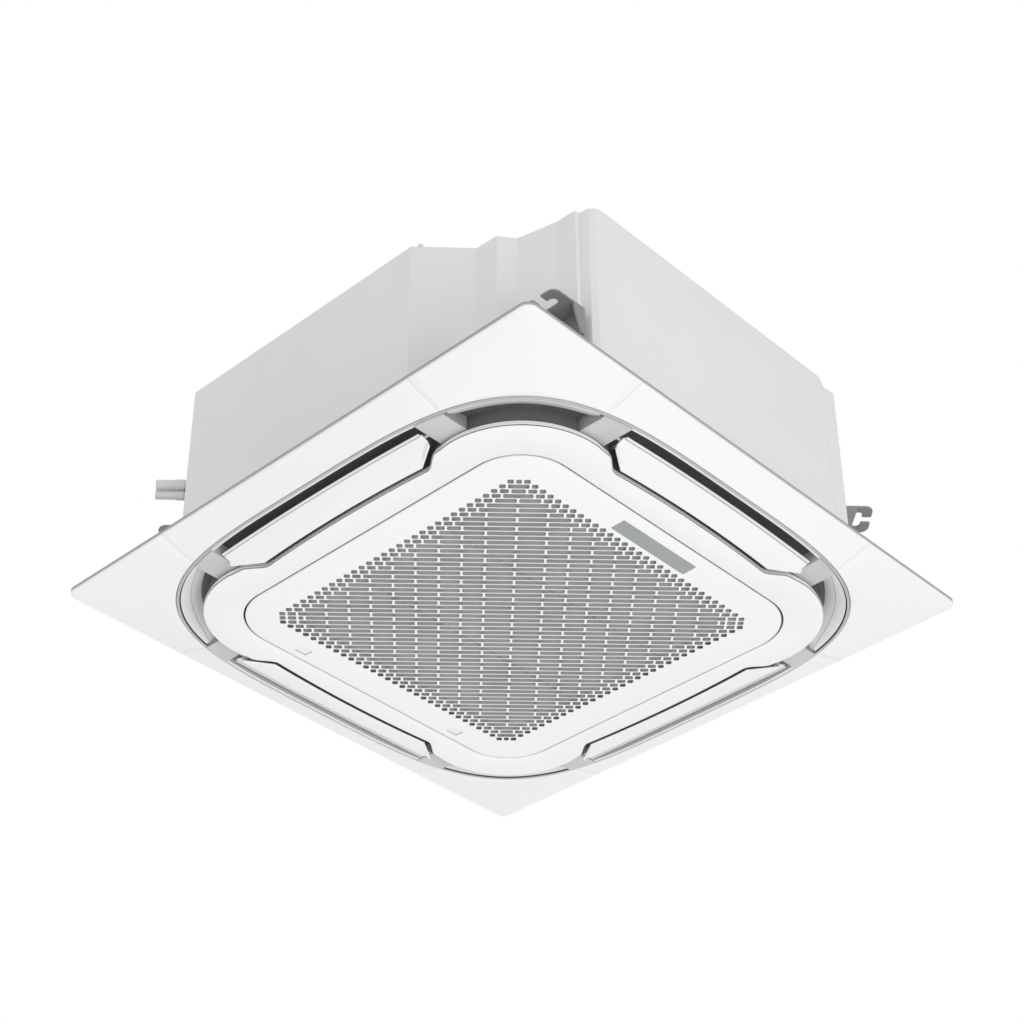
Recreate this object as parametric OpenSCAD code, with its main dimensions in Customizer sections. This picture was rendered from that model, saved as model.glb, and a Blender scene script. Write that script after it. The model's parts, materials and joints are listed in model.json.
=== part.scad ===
// Ceiling cassette air conditioner: a four-way indoor unit that hangs in a ceiling.
// The origin is the middle of the four hanger slots, on the underside of their plates.

/* [Hangers] */
// Distance between the hanger slots along X
hang_x = 780; // [770:1:790]
// Distance between the hanger slots along Y
hang_y = 710; // [700:1:720]
// Height of the hanger plates above the ceiling's surface
ceiling_drop = 125; // [115:1:140]
// Radius of the pocket that takes a hanger rod
hook_r = 9.5; // [8.5:0.1:10]
// Width of the mouth that the rod slides in through
hook_mouth = 12; // [10:0.5:12]
// Thickness of the hanger plates
hook_t = 3; // [2:0.5:5]
// Width of a hanger plate
hook_w = 62; // [54:1:70]
// How far a hanger plate reaches past the rod's centre
hook_nose = 24; // [20:1:28]
// Height of the flange that fixes a hanger plate to the casing
hook_flange = 60; // [40:1:70]

/* [Casing] */
// Size of the casing along X
body_x = 864; // [860:1:872]
// Size of the casing along Y
body_y = 818; // [812:1:824]
// Height of the casing above the ceiling's surface
body_h = 322; // [300:1:340]
// Cut of the three plain corners, measured along a wall
corner_cut = 137; // [130:1:140]
// Thickness of the sheet steel
steel_t = 1.2; // [0.8:0.1:1.6]
// Thickness of the foam lining
foam_t = 18; // [14:0.5:20]
// Length along X of the stepped recess in the fourth corner
notch_x = 247.5; // [240:0.5:252]
// Depth along Y of that recess
notch_y = 108; // [104:1:112]
// Gap between pieces that are fitted together
fit_gap = 0.3; // [0.2:0.05:0.5]

/* [Panel] */
// Side of the square panel
panel_side = 950; // [940:1:970]
// Radius of the panel's corners, seen from below
panel_r = 16; // [10:1:24]
// Height of the panel's upright edge
panel_lip = 8; // [6:0.5:10]
// Drop of the panel's face from its edge to the outlet ring
ring_drop = 18; // [16:0.5:20]
// Drop of the inner frame's face below the panel's edge
face_drop = 34.3; // [32:0.1:37]
// Wall of the moulded parts
wall = 3; // [2.5:0.1:3.5]
// Place of the seams beside the corner covers, from the middle of a side
seam_at = 253; // [250:1:256]
// Half width of the outlet ring at the middle of a side
ring_half = 428; // [426:0.5:430]
// Power of the ring's rounded square outline, a higher one is squarer
ring_power = 3.85; // [3.7:0.01:4]
// Width of the ring's wall
ring_wall = 8; // [6:0.5:10]

/* [Inner frame] */
// Half width of the inner frame at its bulged corners
frame_half = 367; // [366:0.5:368]
// Corner radius of the inner frame
frame_r = 138; // [130:1:150]
// Half width of the inner frame at the ends of a flap recess
recess_half = 346; // [344:0.5:348]
// How far the recessed edge bows out at its middle
recess_bow = 6; // [4:0.5:7]
// Half length of the straight stretch of a flap recess
recess_s = 162; // [158:1:166]
// Half length at which the bulged corner is reached
bulge_s = 201; // [198:1:204]

/* [Flaps] */
// Gap between the inner frame and a flap
flap_gap = 5; // [4.5:0.1:6]
// Half width at the outer edge of a flap
flap_out = 404; // [402:0.5:405]
// Half length of a flap
flap_s = 203; // [201:0.5:204]
// Thickness of a flap
flap_t = 2.5; // [2:0.1:3]
// Height of a flap's pivot above its face
pivot_h = 17.3; // [16.5:0.1:17.5]
// Distance of a flap's pivot from its inner edge
pivot_in = 30; // [30:0.5:32]
// Radius of a flap's pivot pins
pin_r = 2; // [1.5:0.1:2.2]
// Running clearance round a pin or shaft
run_gap = 0.05; // [0.03:0.01:0.08]

/* [Bridges] */
// Start of a bridge block, from the middle of a side
block_s = 208; // [206.5:0.5:209]
// Width of a bridge block
block_w = 47; // [44:0.5:48]
// Drop of a bridge block's face below the panel's edge
block_drop = 21; // [20:0.5:22]

/* [Grille] */
// Half width of the suction grille
grille_half = 308.8; // [308:0.1:309]
// Corner radius of the suction grille
grille_r = 69; // [60:1:75]
// Seam between the grille and the inner frame
seam_gap = 2.2; // [2:0.1:3]
// How far the slotted field stands proud of the grille's rim
grille_bulge = 4.7; // [3.5:0.1:5.5]
// Half width of the raised field
field_half = 262; // [261:0.5:263]
// Half width of the slotted area
slots_half = 257; // [250:0.5:258]
// Distance between two rows of slots
row_pitch = 11.16; // [11:0.01:14]
// Width of a slot
slot_w = 7.6; // [6:0.1:8]
// Distance between the ribs that cross a row
rib_pitch = 138; // [100:1:180]
// Width of a rib
rib_w = 3.4; // [2.5:0.1:5]
// Height of the hinge axis above the grille's rim
hinge_h = 7.8; // [7.5:0.1:8.5]
// Distance of the hinge axis from the middle
hinge_x = 319.5; // [319:0.1:320.5]
// Distance of the hinges from the middle line
hinge_y = 150; // [120:1:180]
// Distance of a latch from the middle line
latch_y = 164; // [140:1:180]
// Distance of a latch window from the middle
latch_x = 286; // [285.5:0.1:286.5]
// Size of a latch window across and along
latch_win = [18, 24];
// Travel of a latch
latch_travel = 7; // [5:0.5:7]
// Size of the bare plate on the grille
badge_size = [25, 158];
// Distance of the bare plate from the middle
badge_x = 275.5; // [275:0.1:277]

/* [Heat exchanger] */
// Half width of the heat exchanger
coil_half = 295; // [292:1:298]
// Thickness of the heat exchanger
coil_t = 38; // [32:1:40]
// Corner radius of the heat exchanger
coil_r = 90; // [80:1:100]
// Outer radius of the gas pipe
gas_r = 9.525; // [7:0.005:10]
// Outer radius of the liquid pipe
liquid_r = 6.35; // [4:0.01:7]
// Wall of the refrigerant pipes
pipe_t = 1; // [0.8:0.1:1.2]
// Height of the gas pipe above the hanger plates
gas_z = 75; // [70:1:85]
// Height of the liquid pipe above the hanger plates
liquid_z = 56; // [40:1:57]
// Reach of both pipes from the middle along the diagonal
pipe_reach = 555; // [545:1:565]

/* [Fan] */
// Radius of the fan wheel
fan_r = 232; // [226:1:234]
// Radius of the fan's inlet
eye_r = 168; // [160:1:172]
// Number of fan blades
blade_count = 7; // [5:1:9]
// Thickness of a fan blade
blade_t = 3; // [2:0.5:4]
// Radius of the motor shaft
shaft_r = 6; // [5:0.1:7]
// Radius of the fan motor
motor_r = 68; // [60:1:72]
// Height of the fan motor
motor_h = 84; // [76:1:90]

/* [Drain] */
// Distance of the drain pump from the middle along X and Y
pump_at = 307; // [304:1:308]
// Radius of the pump's impeller
impeller_r = 13; // [11:0.5:14]
// Radius of the float
float_r = 12; // [10:0.5:13]
// Travel of the float
float_travel = 12; // [8:0.5:14]
// Outer radius of the drain socket
socket_r = 16; // [14:0.5:18]
// Inner radius of the drain socket
socket_bore = 12.5; // [11:0.5:13]

/* [Control box] */
// Length of the control box
box_len = 280; // [260:1:300]
// Width of the control box
box_w = 72; // [66:1:74]
// Height of the control box
box_h = 27; // [25:1:28]

/* [Hidden] */
$fn = 48;

// One overrun for every cut
cut = 1;
// Overlap that joins two bodies of one piece
sink = 1;
// Points round the outlet ring
ring_steps = 120;
// Points on a rounded corner of the inner frame
arc_steps = 12;
// Facets of the large turned pieces
fine = 96;

// Levels, measured up from the hanger plates
ceil_z = -ceiling_drop;
edge_z = ceil_z - panel_lip;
ring_z = edge_z - ring_drop;
block_z = edge_z - block_drop;
face_z = edge_z - face_drop;
field_z = face_z - grille_bulge;
top_z = ceil_z + body_h;
pivot_z = face_z + pivot_h;
hinge_z = face_z + hinge_h;

// Gasket between the panel and the casing
gasket_t = 4;
gasket_w = 12;
duct_top_z = ceil_z - gasket_t;
duct_plate_z = duct_top_z - wall;

// Air slots in the duct's top and in the drain pan
pan_slot_s = 165;
duct_slot_s = 180;
pan_slot_in = 318;
duct_slot_in = 348;
slot_out_x = 405;
slot_out_y = 385;

// Grille opening, with the skirt and the ledge round it
opening_half = grille_half + seam_gap;
opening_r = grille_r + seam_gap;
ledge = 3;
skirt_t = 2.5;
skirt_top_z = ceil_z - 20;
skirt_half = opening_half + ledge;

// Half sizes and the plane of the cut corners, from the middle
hx = body_x / 2;
hy = body_y / 2;
corner_wall_s = (hx + hy - corner_cut) / sqrt(2);

// Corner steps of the casing, as shares of the recess and of the corner cut
notch_shares = [[0, 0], [0.267, 0.627], [0.422, 0.639], [0.494, 0.864], [0.75, 0.991],
    [0.893, 1], [0.893, 1.074], [0.958, 1.095], [0.989, 1.162], [1, 1.222]];
notch_core_shares = [[0, 0], [0.267, 0.648], [0.507, 0.9], [1, 1.222]];
step_shares = [[0, -0.285], [0.073, -0.109], [0.058, 0.058]];
step_core_shares = [[0, -0.32], [0.084, -0.117], [0.102, 0.092]];

// Casing outline, anticlockwise from the pipe corner
function corner_notch(shares) =
    [for (p = shares) [hx - notch_x + p[0] * notch_x, -hy + p[1] * notch_y]];
function corner_step(shares) =
    [for (p = shares) [hx - p[0] * corner_cut, hy - corner_cut + p[1] * corner_cut]];
function casing_outline(notch, step) = concat([[-hx + corner_cut, -hy]],
    corner_notch(notch), corner_step(step),
    [[hx - corner_cut, hy], [-hx + corner_cut, hy],
     [-hx, hy - corner_cut], [-hx, -hy + corner_cut]]);
body_pts = casing_outline(notch_shares, step_shares);
// The same without the small steps, for the pieces inside
core_pts = casing_outline(notch_core_shares, step_core_shares);

// Inset of an anticlockwise outline by a distance
function unit(v) = v / norm(v);
function left(v) = [-v[1], v[0]];
function side_normal(p, i) = left(unit(p[(i + 1) % len(p)] - p[i]));
function inset_point(p, i, d) =
    let (a = side_normal(p, (i + len(p) - 1) % len(p)), b = side_normal(p, i))
    p[i] + (a + b) * d / (1 + a * b);
function inset(p, d) = [for (i = [0 : len(p) - 1]) inset_point(p, i, d)];

// Rounded square with bowed sides, as the outlet ring has
function ring_r(a, t) =
    a / pow(pow(abs(cos(t)), ring_power) + pow(abs(sin(t)), ring_power), 1 / ring_power);
function ring_pts(a) = [for (i = [0 : ring_steps - 1])
    let (t = 360 * i / ring_steps) ring_r(a, t) * [cos(t), sin(t)]];

// Inner frame outline, with a recess for a flap in each side
bulge_w = bulge_s - recess_s;
function smooth(u) = u * u * (3 - 2 * u);
function recess_edge(s) = recess_half + recess_bow * (1 - pow(s / recess_s, 2));
function frame_edge(s) = abs(s) <= recess_s ? recess_edge(s)
    : recess_half + (frame_half - recess_half) * smooth((abs(s) - recess_s) / bulge_w);
bulge_stops = [for (i = [1 : 5]) recess_s + bulge_w * i / 5];
frame_stops = concat([for (i = [5 : -1 : 1]) -recess_s - bulge_w * i / 5],
    [for (i = [-6 : 6]) recess_s * i / 6], bulge_stops);
function turn(p, a) = [p[0] * cos(a) - p[1] * sin(a), p[0] * sin(a) + p[1] * cos(a)];
frame_mid = frame_half - frame_r;
frame_side = concat([for (s = frame_stops) [frame_edge(s), s]],
    [for (i = [0 : arc_steps]) let (t = 90 * i / arc_steps)
        [frame_mid, frame_mid] + frame_r * [cos(t), sin(t)]]);
frame_pts = [for (k = [0 : 3]) for (p = frame_side) turn(p, 90 * k)];

// Flap outline on the +X side
flap_ramp = 28;
flap_bow = 4;
flap_in_end = recess_half + flap_gap;
function flap_inner(s) = abs(s) <= recess_s ? recess_edge(s) + flap_gap
    : flap_in_end + flap_ramp * (abs(s) - recess_s) / (flap_s - recess_s);
function flap_outer(s) = flap_out - flap_bow * pow(s / flap_s, 2);
flap_stops = concat([-flap_s], [for (i = [-7 : 7]) recess_s * i / 7], [flap_s]);
flap_pts = concat([for (s = flap_stops) [flap_inner(s), s]],
    [for (i = [8 : -1 : -8]) let (s = flap_s * i / 8) [flap_outer(s), s]]);
pivot_x = flap_in_end + recess_bow + pivot_in;

// Rounded rectangle from half sizes
module rounded(a, b, r) {
    square([2 * (a - r), 2 * b], center = true);
    square([2 * a, 2 * (b - r)], center = true);
    for (x = [-1, 1], y = [-1, 1])
        translate([x * (a - r), y * (b - r)])
            circle(r);
}

// A flat piece from an outline between two levels
module slab(z0, z1) {
    translate([0, 0, z0])
        linear_extrude(z1 - z0)
            children();
}

// A box between two corners
module block(a, b) {
    translate(a)
        cube(b - a);
}

// A bored tube along +Z
module tube(r_out, r_in, h) {
    difference() {
        cylinder(r = r_out, h = h);
        translate([0, 0, -cut])
            cylinder(r = r_in, h = h + 2 * cut);
    }
}

// Places its child on the diagonal through the pipe corner, with +Z along the diagonal
module on_pipe_diagonal(s, z) {
    rotate(225)
        translate([s, 0, z])
            rotate([0, 90, 0])
                children();
}

// A pan-head screw pointing up, with the underside of its head at the origin
module screw(r, h) {
    cylinder(r = r, h = h);
    translate([0, 0, -r])
        cylinder(r = 2 * r, h = r);
}

// Opening for the pipes and its cover plate
pipe_mid_z = (gas_z + liquid_z) / 2;
pipe_hole = 44;
cover_w = 110;
cover_h = 96;
cover_t = 1.5;
grommet_t = 6;

// Drain socket's place and reach, outside the wall and inside the foam
socket_y = 240;
socket_z = 55;
socket_out = 38;
socket_in = 6;
socket_flange = 6;

// Cut for the pipe opening through walls that lie inside the corner's plane
module pipe_opening(depth) {
    on_pipe_diagonal(corner_wall_s - depth, pipe_mid_z)
        translate([0, 0, depth / 2 + cut])
            cube([pipe_hole, pipe_hole, depth + 4 * cut], center = true);
}

// Cut for the drain socket through walls that lie inside the side wall
module socket_opening(depth) {
    translate([-hx - cut, socket_y, socket_z])
        rotate([0, 90, 0])
            cylinder(r = socket_r + fit_gap, h = depth + 2 * cut);
}

// Folded steel casing with its pipe and drain openings
module casing_shell() {
    color("gainsboro")
    difference() {
        slab(ceil_z, top_z - steel_t) polygon(body_pts);
        slab(ceil_z - cut, top_z) polygon(inset(body_pts, steel_t));
        pipe_opening(2 * steel_t);
        socket_opening(steel_t);
    }
}

lid_screw_in = 9;
lid_screw_r = 2;
lid_screw_shares = [-0.6, 0, 0.45];

// Places of the lid's screws, along two walls
module at_lid_screws() {
    for (x = lid_screw_shares, y = [-1, 1])
        translate([x * hx, y * (hy - lid_screw_in), top_z])
            children();
}

// Flat steel lid of the casing
module top_plate() {
    color("gainsboro")
    difference() {
        slab(top_z - steel_t, top_z) polygon(body_pts);
        at_lid_screws()
            cylinder(r = lid_screw_r + fit_gap, h = 4 * steel_t, center = true);
    }
}

// Screws of the casing's lid
module casing_screws() {
    color("silver")
    at_lid_screws()
        mirror([0, 0, 1])
            screw(lid_screw_r, steel_t);
}

lid_foam_t = 15;
lid_foam_top_z = top_z - steel_t - fit_gap;
lid_foam_z = lid_foam_top_z - lid_foam_t;
lid_hole_r = 96;

// Foam lining: a wall inside the casing and a slab under its lid
module casing_insulation() {
    color("whitesmoke")
    difference() {
        slab(ceil_z, lid_foam_top_z) polygon(inset(core_pts, steel_t + fit_gap));
        slab(ceil_z - cut, lid_foam_z) polygon(inset(core_pts, steel_t + fit_gap + foam_t));
        slab(ceil_z, top_z) circle(lid_hole_r);
        pipe_opening(steel_t + 2 * foam_t);
        socket_opening(steel_t + foam_t);
    }
}

hook_round = 10;
hook_bolt_r = 3;
brace_share = 0.45;
bolt_share = 0.62;

// A hanger bracket: rod pocket at the origin, wall at -reach along X, flange down the casing
module hanger(reach, mouth_angle, flange_h) {
    difference() {
        union() {
            slab(0, hook_t) {
                translate([-reach, -hook_w / 2])
                    square([reach + hook_nose - hook_round, hook_w]);
                translate([-reach, -hook_w / 2 + hook_round])
                    square([reach + hook_nose, hook_w - 2 * hook_round]);
                for (y = [-1, 1])
                    translate([hook_nose - hook_round, y * (hook_w / 2 - hook_round)])
                        circle(hook_round);
            }
            block([-reach, -hook_w / 2, -flange_h], [-reach + hook_t, hook_w / 2, hook_t]);
            for (y = [-1, 1])
                translate([-reach, y * (hook_w - hook_t) / 2 - hook_t / 2, 0])
                    block([0, 0, -flange_h * brace_share], [reach * brace_share, hook_t, hook_t]);
        }
        translate([0, 0, -cut]) {
            cylinder(r = hook_r, h = hook_t + 2 * cut);
            rotate(mouth_angle)
                translate([0, -hook_mouth / 2, 0])
                    cube([hook_w, hook_mouth, hook_t + 2 * cut]);
        }
        for (y = [-1, 1])
            translate([-reach - cut, y * hook_w / 4, -flange_h * bolt_share])
                rotate([0, 90, 0])
                    cylinder(r = hook_bolt_r, h = hook_t + 2 * cut);
    }
}

// Distance from a rod to the wall behind it, at a cut corner and at the stepped corner
corner_reach = (hang_x + hang_y) / 2 / sqrt(2) - corner_wall_s - fit_gap;
notch_reach = hang_y / 2 - hy + notch_y - fit_gap;

// Bracket number i; the second stands on the recess wall, the others on the cut corners
module hanger_bracket(i) {
    x = [-1, 1, 1, -1][i] * hang_x / 2;
    y = [-1, -1, 1, 1][i] * hang_y / 2;
    color("dimgray")
    difference() {
        translate([x, y, 0])
            rotate([225, -90, 45, 135][i])
                hanger(i == 1 ? notch_reach : corner_reach, 0, hook_flange);
        slab(-hook_flange - cut, hook_t + cut) polygon(inset(body_pts, -fit_gap));
    }
}

// Foam drain pan under the heat exchanger
pan_h = 50;
pan_z = ceil_z;
pan_top_z = pan_z + pan_h;
pan_hole_r = 238;
trough_depth = 20;
trough_w = 46;
trough_z = pan_top_z - trough_depth;
sump_r = 52;
sump_z = pan_z + 17;
plug_r = 9;
plug_at = 37;
plug_head = 2.5;

// Drain pan, with its trough, its air slots and the pump's sump
module drain_pan() {
    trough_out = coil_half + wall;
    color("dimgray")
    difference() {
        slab(pan_z, pan_top_z) polygon(inset(core_pts, steel_t + foam_t + 2 * fit_gap));
        slab(pan_z - cut, pan_top_z + cut) circle(pan_hole_r);
        slab(trough_z, pan_top_z + cut)
            difference() {
                rounded(trough_out, trough_out, coil_r);
                rounded(trough_out - trough_w, trough_out - trough_w, coil_r - coil_t);
            }
        for (k = [0 : 3])
            rotate(90 * k)
                block([pan_slot_in, -pan_slot_s, pan_z - cut],
                    [k % 2 == 0 ? slot_out_x : slot_out_y, pan_slot_s, pan_top_z + cut]);
        translate([-pump_at, pump_at, sump_z])
            cylinder(r = sump_r, h = pan_h);
        translate([-pump_at + plug_at, pump_at, pan_z - cut])
            cylinder(r = plug_r, h = pan_h);
    }
}

// Rubber plug in the pan's service drain
module drain_plug() {
    color("black")
    translate([-pump_at + plug_at, pump_at, pan_z - fit_gap]) {
        cylinder(r = plug_r - run_gap, h = sump_z - pan_z);
        translate([0, 0, -plug_head])
            cylinder(r = plug_r + wall, h = plug_head);
    }
}

coil_z = trough_z + fit_gap;
coil_top_z = lid_foam_z - fit_gap;
coil_end = 215;
end_plate_t = 1.5;

// Finned heat exchanger, a square ring that is open at the pipe corner
module exchanger_fins() {
    inner = coil_half - coil_t;
    color("silver")
    difference() {
        slab(coil_z, coil_top_z) rounded(coil_half, coil_half, coil_r);
        slab(coil_z - cut, coil_top_z + cut) rounded(inner, inner, coil_r - coil_t);
        block([-coil_half - cut, -coil_half - cut, coil_z - cut],
            [-coil_end, -coil_end, coil_top_z + cut]);
    }
}

// Steel sheets on both ends of the heat exchanger
module exchanger_end_plates() {
    color("lightgray")
    for (m = [0, 1])
        mirror([m, -m, 0])
            block([-coil_half, -coil_end - end_plate_t, coil_z],
                [-coil_half + coil_t, -coil_end, coil_top_z]);
}

bend_count = 10;
bend_r = 8;
bend_tube_r = 3.5;
bend_row_shares = [0.28, 0.72];

// Copper return bends on the ends of the heat exchanger
module exchanger_tubes() {
    pitch = (coil_top_z - coil_z) / bend_count;
    color("peru")
    for (m = [0, 1], i = [0 : bend_count - 1], row = bend_row_shares)
        mirror([m, -m, 0])
            translate([-coil_half + coil_t * row, -coil_end - end_plate_t,
                coil_z + pitch * (i + 1 / 2)])
                rotate([0, 90, 0])
                    rotate(180)
                        rotate_extrude(angle = 180)
                            translate([bend_r, 0])
                                circle(bend_tube_r);
}

header_r = 11;
header_s = 392;
header_z = pan_top_z + fit_gap;
header_top_z = coil_top_z - header_r;
distributor_r = 12;
distributor_s = 440;
distributor_h = 52;
distributor_rise = 7.5;
sleeve_in = 44;
sleeve_len = 12;

// A pipe from a place on the diagonal to its free end, bored from past a vertical vessel,
// with a brazed sleeve outside the cover plate
module stub_pipe(r, z, from, vessel_r) {
    difference() {
        union() {
            children();
            on_pipe_diagonal(from, z)
                cylinder(r = r, h = pipe_reach - from);
            on_pipe_diagonal(pipe_reach - sleeve_in, z)
                cylinder(r = r + pipe_t, h = sleeve_len);
        }
        on_pipe_diagonal(from + vessel_r, z)
            cylinder(r = r - pipe_t, h = pipe_reach);
    }
}

// Gas header with its pipe, which leaves through the pipe corner
module gas_pipe() {
    color("silver")
    stub_pipe(gas_r, gas_z, header_s, header_r)
        rotate(225)
            translate([header_s, 0, header_z])
                cylinder(r = header_r, h = header_top_z - header_z);
}

// Liquid distributor with its pipe, under the gas pipe
module liquid_pipe() {
    color("silver")
    stub_pipe(liquid_r, liquid_z, distributor_s, distributor_r)
        rotate(225)
            translate([distributor_s, 0, liquid_z + distributor_rise - distributor_h])
                cylinder(r = distributor_r, h = distributor_h);
}

// Steel cover over the pipe opening
module pipe_cover_plate() {
    color("gainsboro")
    difference() {
        on_pipe_diagonal(corner_wall_s + fit_gap / 2, pipe_mid_z)
            translate([0, 0, cover_t / 2])
                cube([cover_h, cover_w, cover_t], center = true);
        pipe_opening(steel_t);
    }
}

// Rubber seal round the pipes, inside the opening
module pipe_grommet() {
    side = pipe_hole - 2 * fit_gap;
    color("dimgray")
    difference() {
        on_pipe_diagonal(corner_wall_s - grommet_t + cover_t, pipe_mid_z)
            translate([0, 0, grommet_t / 2])
                cube([side, side, grommet_t], center = true);
        on_pipe_diagonal(header_s, gas_z)
            cylinder(r = gas_r + fit_gap, h = pipe_reach);
        on_pipe_diagonal(header_s, liquid_z)
            cylinder(r = liquid_r + fit_gap, h = pipe_reach);
    }
}

// Drain pump: bowl on three feet, column and motor flange
pump_z = sump_z + fit_gap;
pump_foot = 8;
bowl_z = pump_z + pump_foot;
bowl_h = 22;
bowl_wall = 3;
bowl_mid_z = bowl_z + bowl_h / 2;
bowl_r = impeller_r + 6;
bowl_gap = 1.5;
column_r = 9;
pump_top_z = 10;
pump_shaft_r = 2;
pump_motor_r = 26;
pump_motor_h = 36;
pump_flange_t = 3;
spout_half = 4;
spout_bore = 2.5;
hose_at = 36;

// Pump bowl on its feet, with the column that carries the pump's motor
module drain_pump_housing() {
    inner_r = impeller_r + bowl_gap;
    color("white")
    translate([-pump_at, pump_at, 0])
        difference() {
            union() {
                translate([0, 0, bowl_z])
                    cylinder(r = bowl_r, h = bowl_h);
                for (k = [0 : 2])
                    rotate(120 * k)
                        translate([bowl_r - bowl_wall, 0, pump_z])
                            cylinder(r = bowl_wall / 2, h = pump_foot + sink);
                slab(bowl_z + bowl_h - sink, pump_top_z) circle(column_r);
                slab(pump_top_z - pump_flange_t, pump_top_z) circle(pump_motor_r);
                block([-hose_at - spout_half, -spout_half, bowl_mid_z - spout_half],
                    [-inner_r - sink, spout_half, bowl_mid_z + spout_half]);
            }
            slab(bowl_z + bowl_wall, bowl_z + bowl_h - bowl_wall) circle(inner_r);
            slab(pump_z - cut, bowl_z + bowl_h / 2) circle(inner_r / 2);
            slab(bowl_z, pump_top_z + cut) circle(pump_shaft_r + run_gap);
            translate([-inner_r + cut, 0, bowl_mid_z])
                rotate([0, -90, 0])
                    cylinder(r = spout_bore, h = hose_at - inner_r + cut);
            translate([-hose_at, 0, bowl_mid_z])
                cylinder(r = spout_bore, h = bowl_h);
        }
}

// Small motor on top of the pump's column
module drain_pump_motor() {
    color("gray")
    translate([-pump_at, pump_at, pump_top_z + fit_gap])
        difference() {
            union() {
                cylinder(r = pump_motor_r - pump_flange_t, h = pump_motor_h);
                cylinder(r = pump_motor_r, h = pump_flange_t);
            }
            translate([0, 0, -cut])
                cylinder(r = pump_shaft_r + run_gap, h = pump_motor_h / 2 + cut);
        }
}

vane_t = 2;
vane_plate = 1.5;

// Pump impeller with its shaft
module drain_pump_impeller() {
    low_z = bowl_z + bowl_wall + bowl_gap;
    color("white")
    translate([-pump_at, pump_at, 0]) {
        slab(low_z, low_z + vane_plate) circle(impeller_r);
        for (k = [0 : 3])
            rotate(90 * k)
                block([0, -vane_t / 2, low_z],
                    [impeller_r - vane_t, vane_t / 2, bowl_z + bowl_h - bowl_wall - bowl_gap]);
        slab(low_z, pump_top_z + pump_motor_h / 3) circle(pump_shaft_r);
    }
}

hose_r = 8;
hose_wall = 2.5;
hose_low_z = bowl_mid_z + spout_half + fit_gap;
hose_x = -pump_at - hose_at;
hose_end_x = -hx + steel_t + foam_t + socket_in + fit_gap;

// The hose's path: up beside the pump, along to the socket's line, then out to it
module hose_form(r, extra) {
    translate([hose_x, pump_at, hose_low_z - extra])
        cylinder(r = r, h = socket_z - hose_low_z + extra);
    for (y = [pump_at, socket_y])
        translate([hose_x, y, socket_z])
            sphere(r = r);
    translate([hose_x, pump_at, socket_z])
        rotate([90, 0, 0])
            cylinder(r = r, h = pump_at - socket_y);
    translate([hose_x, socket_y, socket_z])
        rotate([0, -90, 0])
            cylinder(r = r, h = hose_x - hose_end_x + extra);
}

// Rubber hose from the pump up to the drain socket
module drain_hose() {
    color("darkslategray")
    difference() {
        hose_form(hose_r, 0);
        hose_form(hose_r - hose_wall, cut);
    }
}

// Plastic drain socket through the casing's wall
module drain_socket() {
    color("white")
    translate([-hx - socket_out, socket_y, socket_z])
        rotate([0, 90, 0]) {
            tube(socket_r, socket_bore, socket_out + steel_t + foam_t + socket_in);
            translate([0, 0, socket_out - wall - fit_gap])
                tube(socket_r + socket_flange, socket_r - sink, wall);
        }
}

// Float switch: a guide rod with two stops, beside the pump
stem_r = 2.5;
stop_r = 5.5;
stop_t = 3;
stem_z = sump_z + fit_gap;
stem_top_z = -42;
float_h = 16;
float_at = 34;
float_z = stem_z + stop_t + fit_gap;

// Fixed guide rod of the float switch, with its arm to the pump's column
module float_stem() {
    color("white")
    translate([-pump_at, pump_at - float_at, 0]) {
        slab(stem_z, stem_top_z) circle(stem_r);
        slab(stem_z, stem_z + stop_t) circle(stop_r);
        slab(stem_top_z - stop_t, stem_top_z) circle(stop_r);
        block([-stop_t, 0, stem_top_z - stop_t],
            [stop_t, float_at - column_r - fit_gap, stem_top_z]);
    }
}

// Foam float that slides on the rod
module float() {
    color("orange")
    translate([-pump_at, pump_at - float_at, float_z])
        tube(float_r, stem_r + 2 * run_gap, float_h);
}

// Fan motor with four feet, hung from a plate under the lid
motor_z = 74;
motor_top_z = motor_z + motor_h;
motor_step = 4;
motor_ring_share = 0.69;
motor_nose_r = 18;
motor_nose_h = 5;
foot_count = 4;
foot_r = 7;
foot_w = 18;
foot_t = 4;
foot_z = motor_top_z - 14;
foot_at = motor_r + 14;
foot_bolt_r = 3;
bracket_t = 2;
bracket_z = top_z - steel_t - fit_gap - bracket_t;

// Places of the motor's feet
module at_feet() {
    for (k = [0 : foot_count - 1])
        rotate(360 / foot_count * k)
            translate([foot_at, 0, 0])
                children();
}

// Fan motor: a stepped can with a nose, four feet and a bore for the shaft
module fan_motor() {
    color("gray")
    difference() {
        union() {
            slab(motor_z, motor_top_z) circle(motor_r - motor_step);
            slab(motor_z + motor_step, motor_z + motor_step + motor_h * motor_ring_share)
                circle(motor_r);
            slab(motor_z - motor_nose_h, motor_z + sink) circle(motor_nose_r);
            at_feet()
                block([-foot_at / 2, -foot_w / 2, foot_z], [foot_r, foot_w / 2, foot_z + foot_t]);
        }
        slab(motor_z - motor_nose_h - cut, motor_z + motor_h / 2) circle(shaft_r + run_gap);
        at_feet()
            slab(foot_z - cut, foot_z + foot_t + cut) circle(foot_bolt_r);
    }
}

// Steel plate under the lid that carries the motor
module motor_bracket() {
    color("lightgray")
    difference() {
        slab(bracket_z, bracket_z + bracket_t) circle(lid_hole_r - sink);
        at_feet()
            slab(bracket_z - cut, top_z) circle(foot_bolt_r);
    }
}

// Rubber mounts between the motor's feet and the bracket
module rubber_mounts() {
    low_z = foot_z + foot_t + fit_gap;
    color("black")
    at_feet()
        translate([0, 0, low_z])
            tube(foot_r, foot_bolt_r, bracket_z - fit_gap - low_z);
}

shaft_z = 2;

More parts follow.
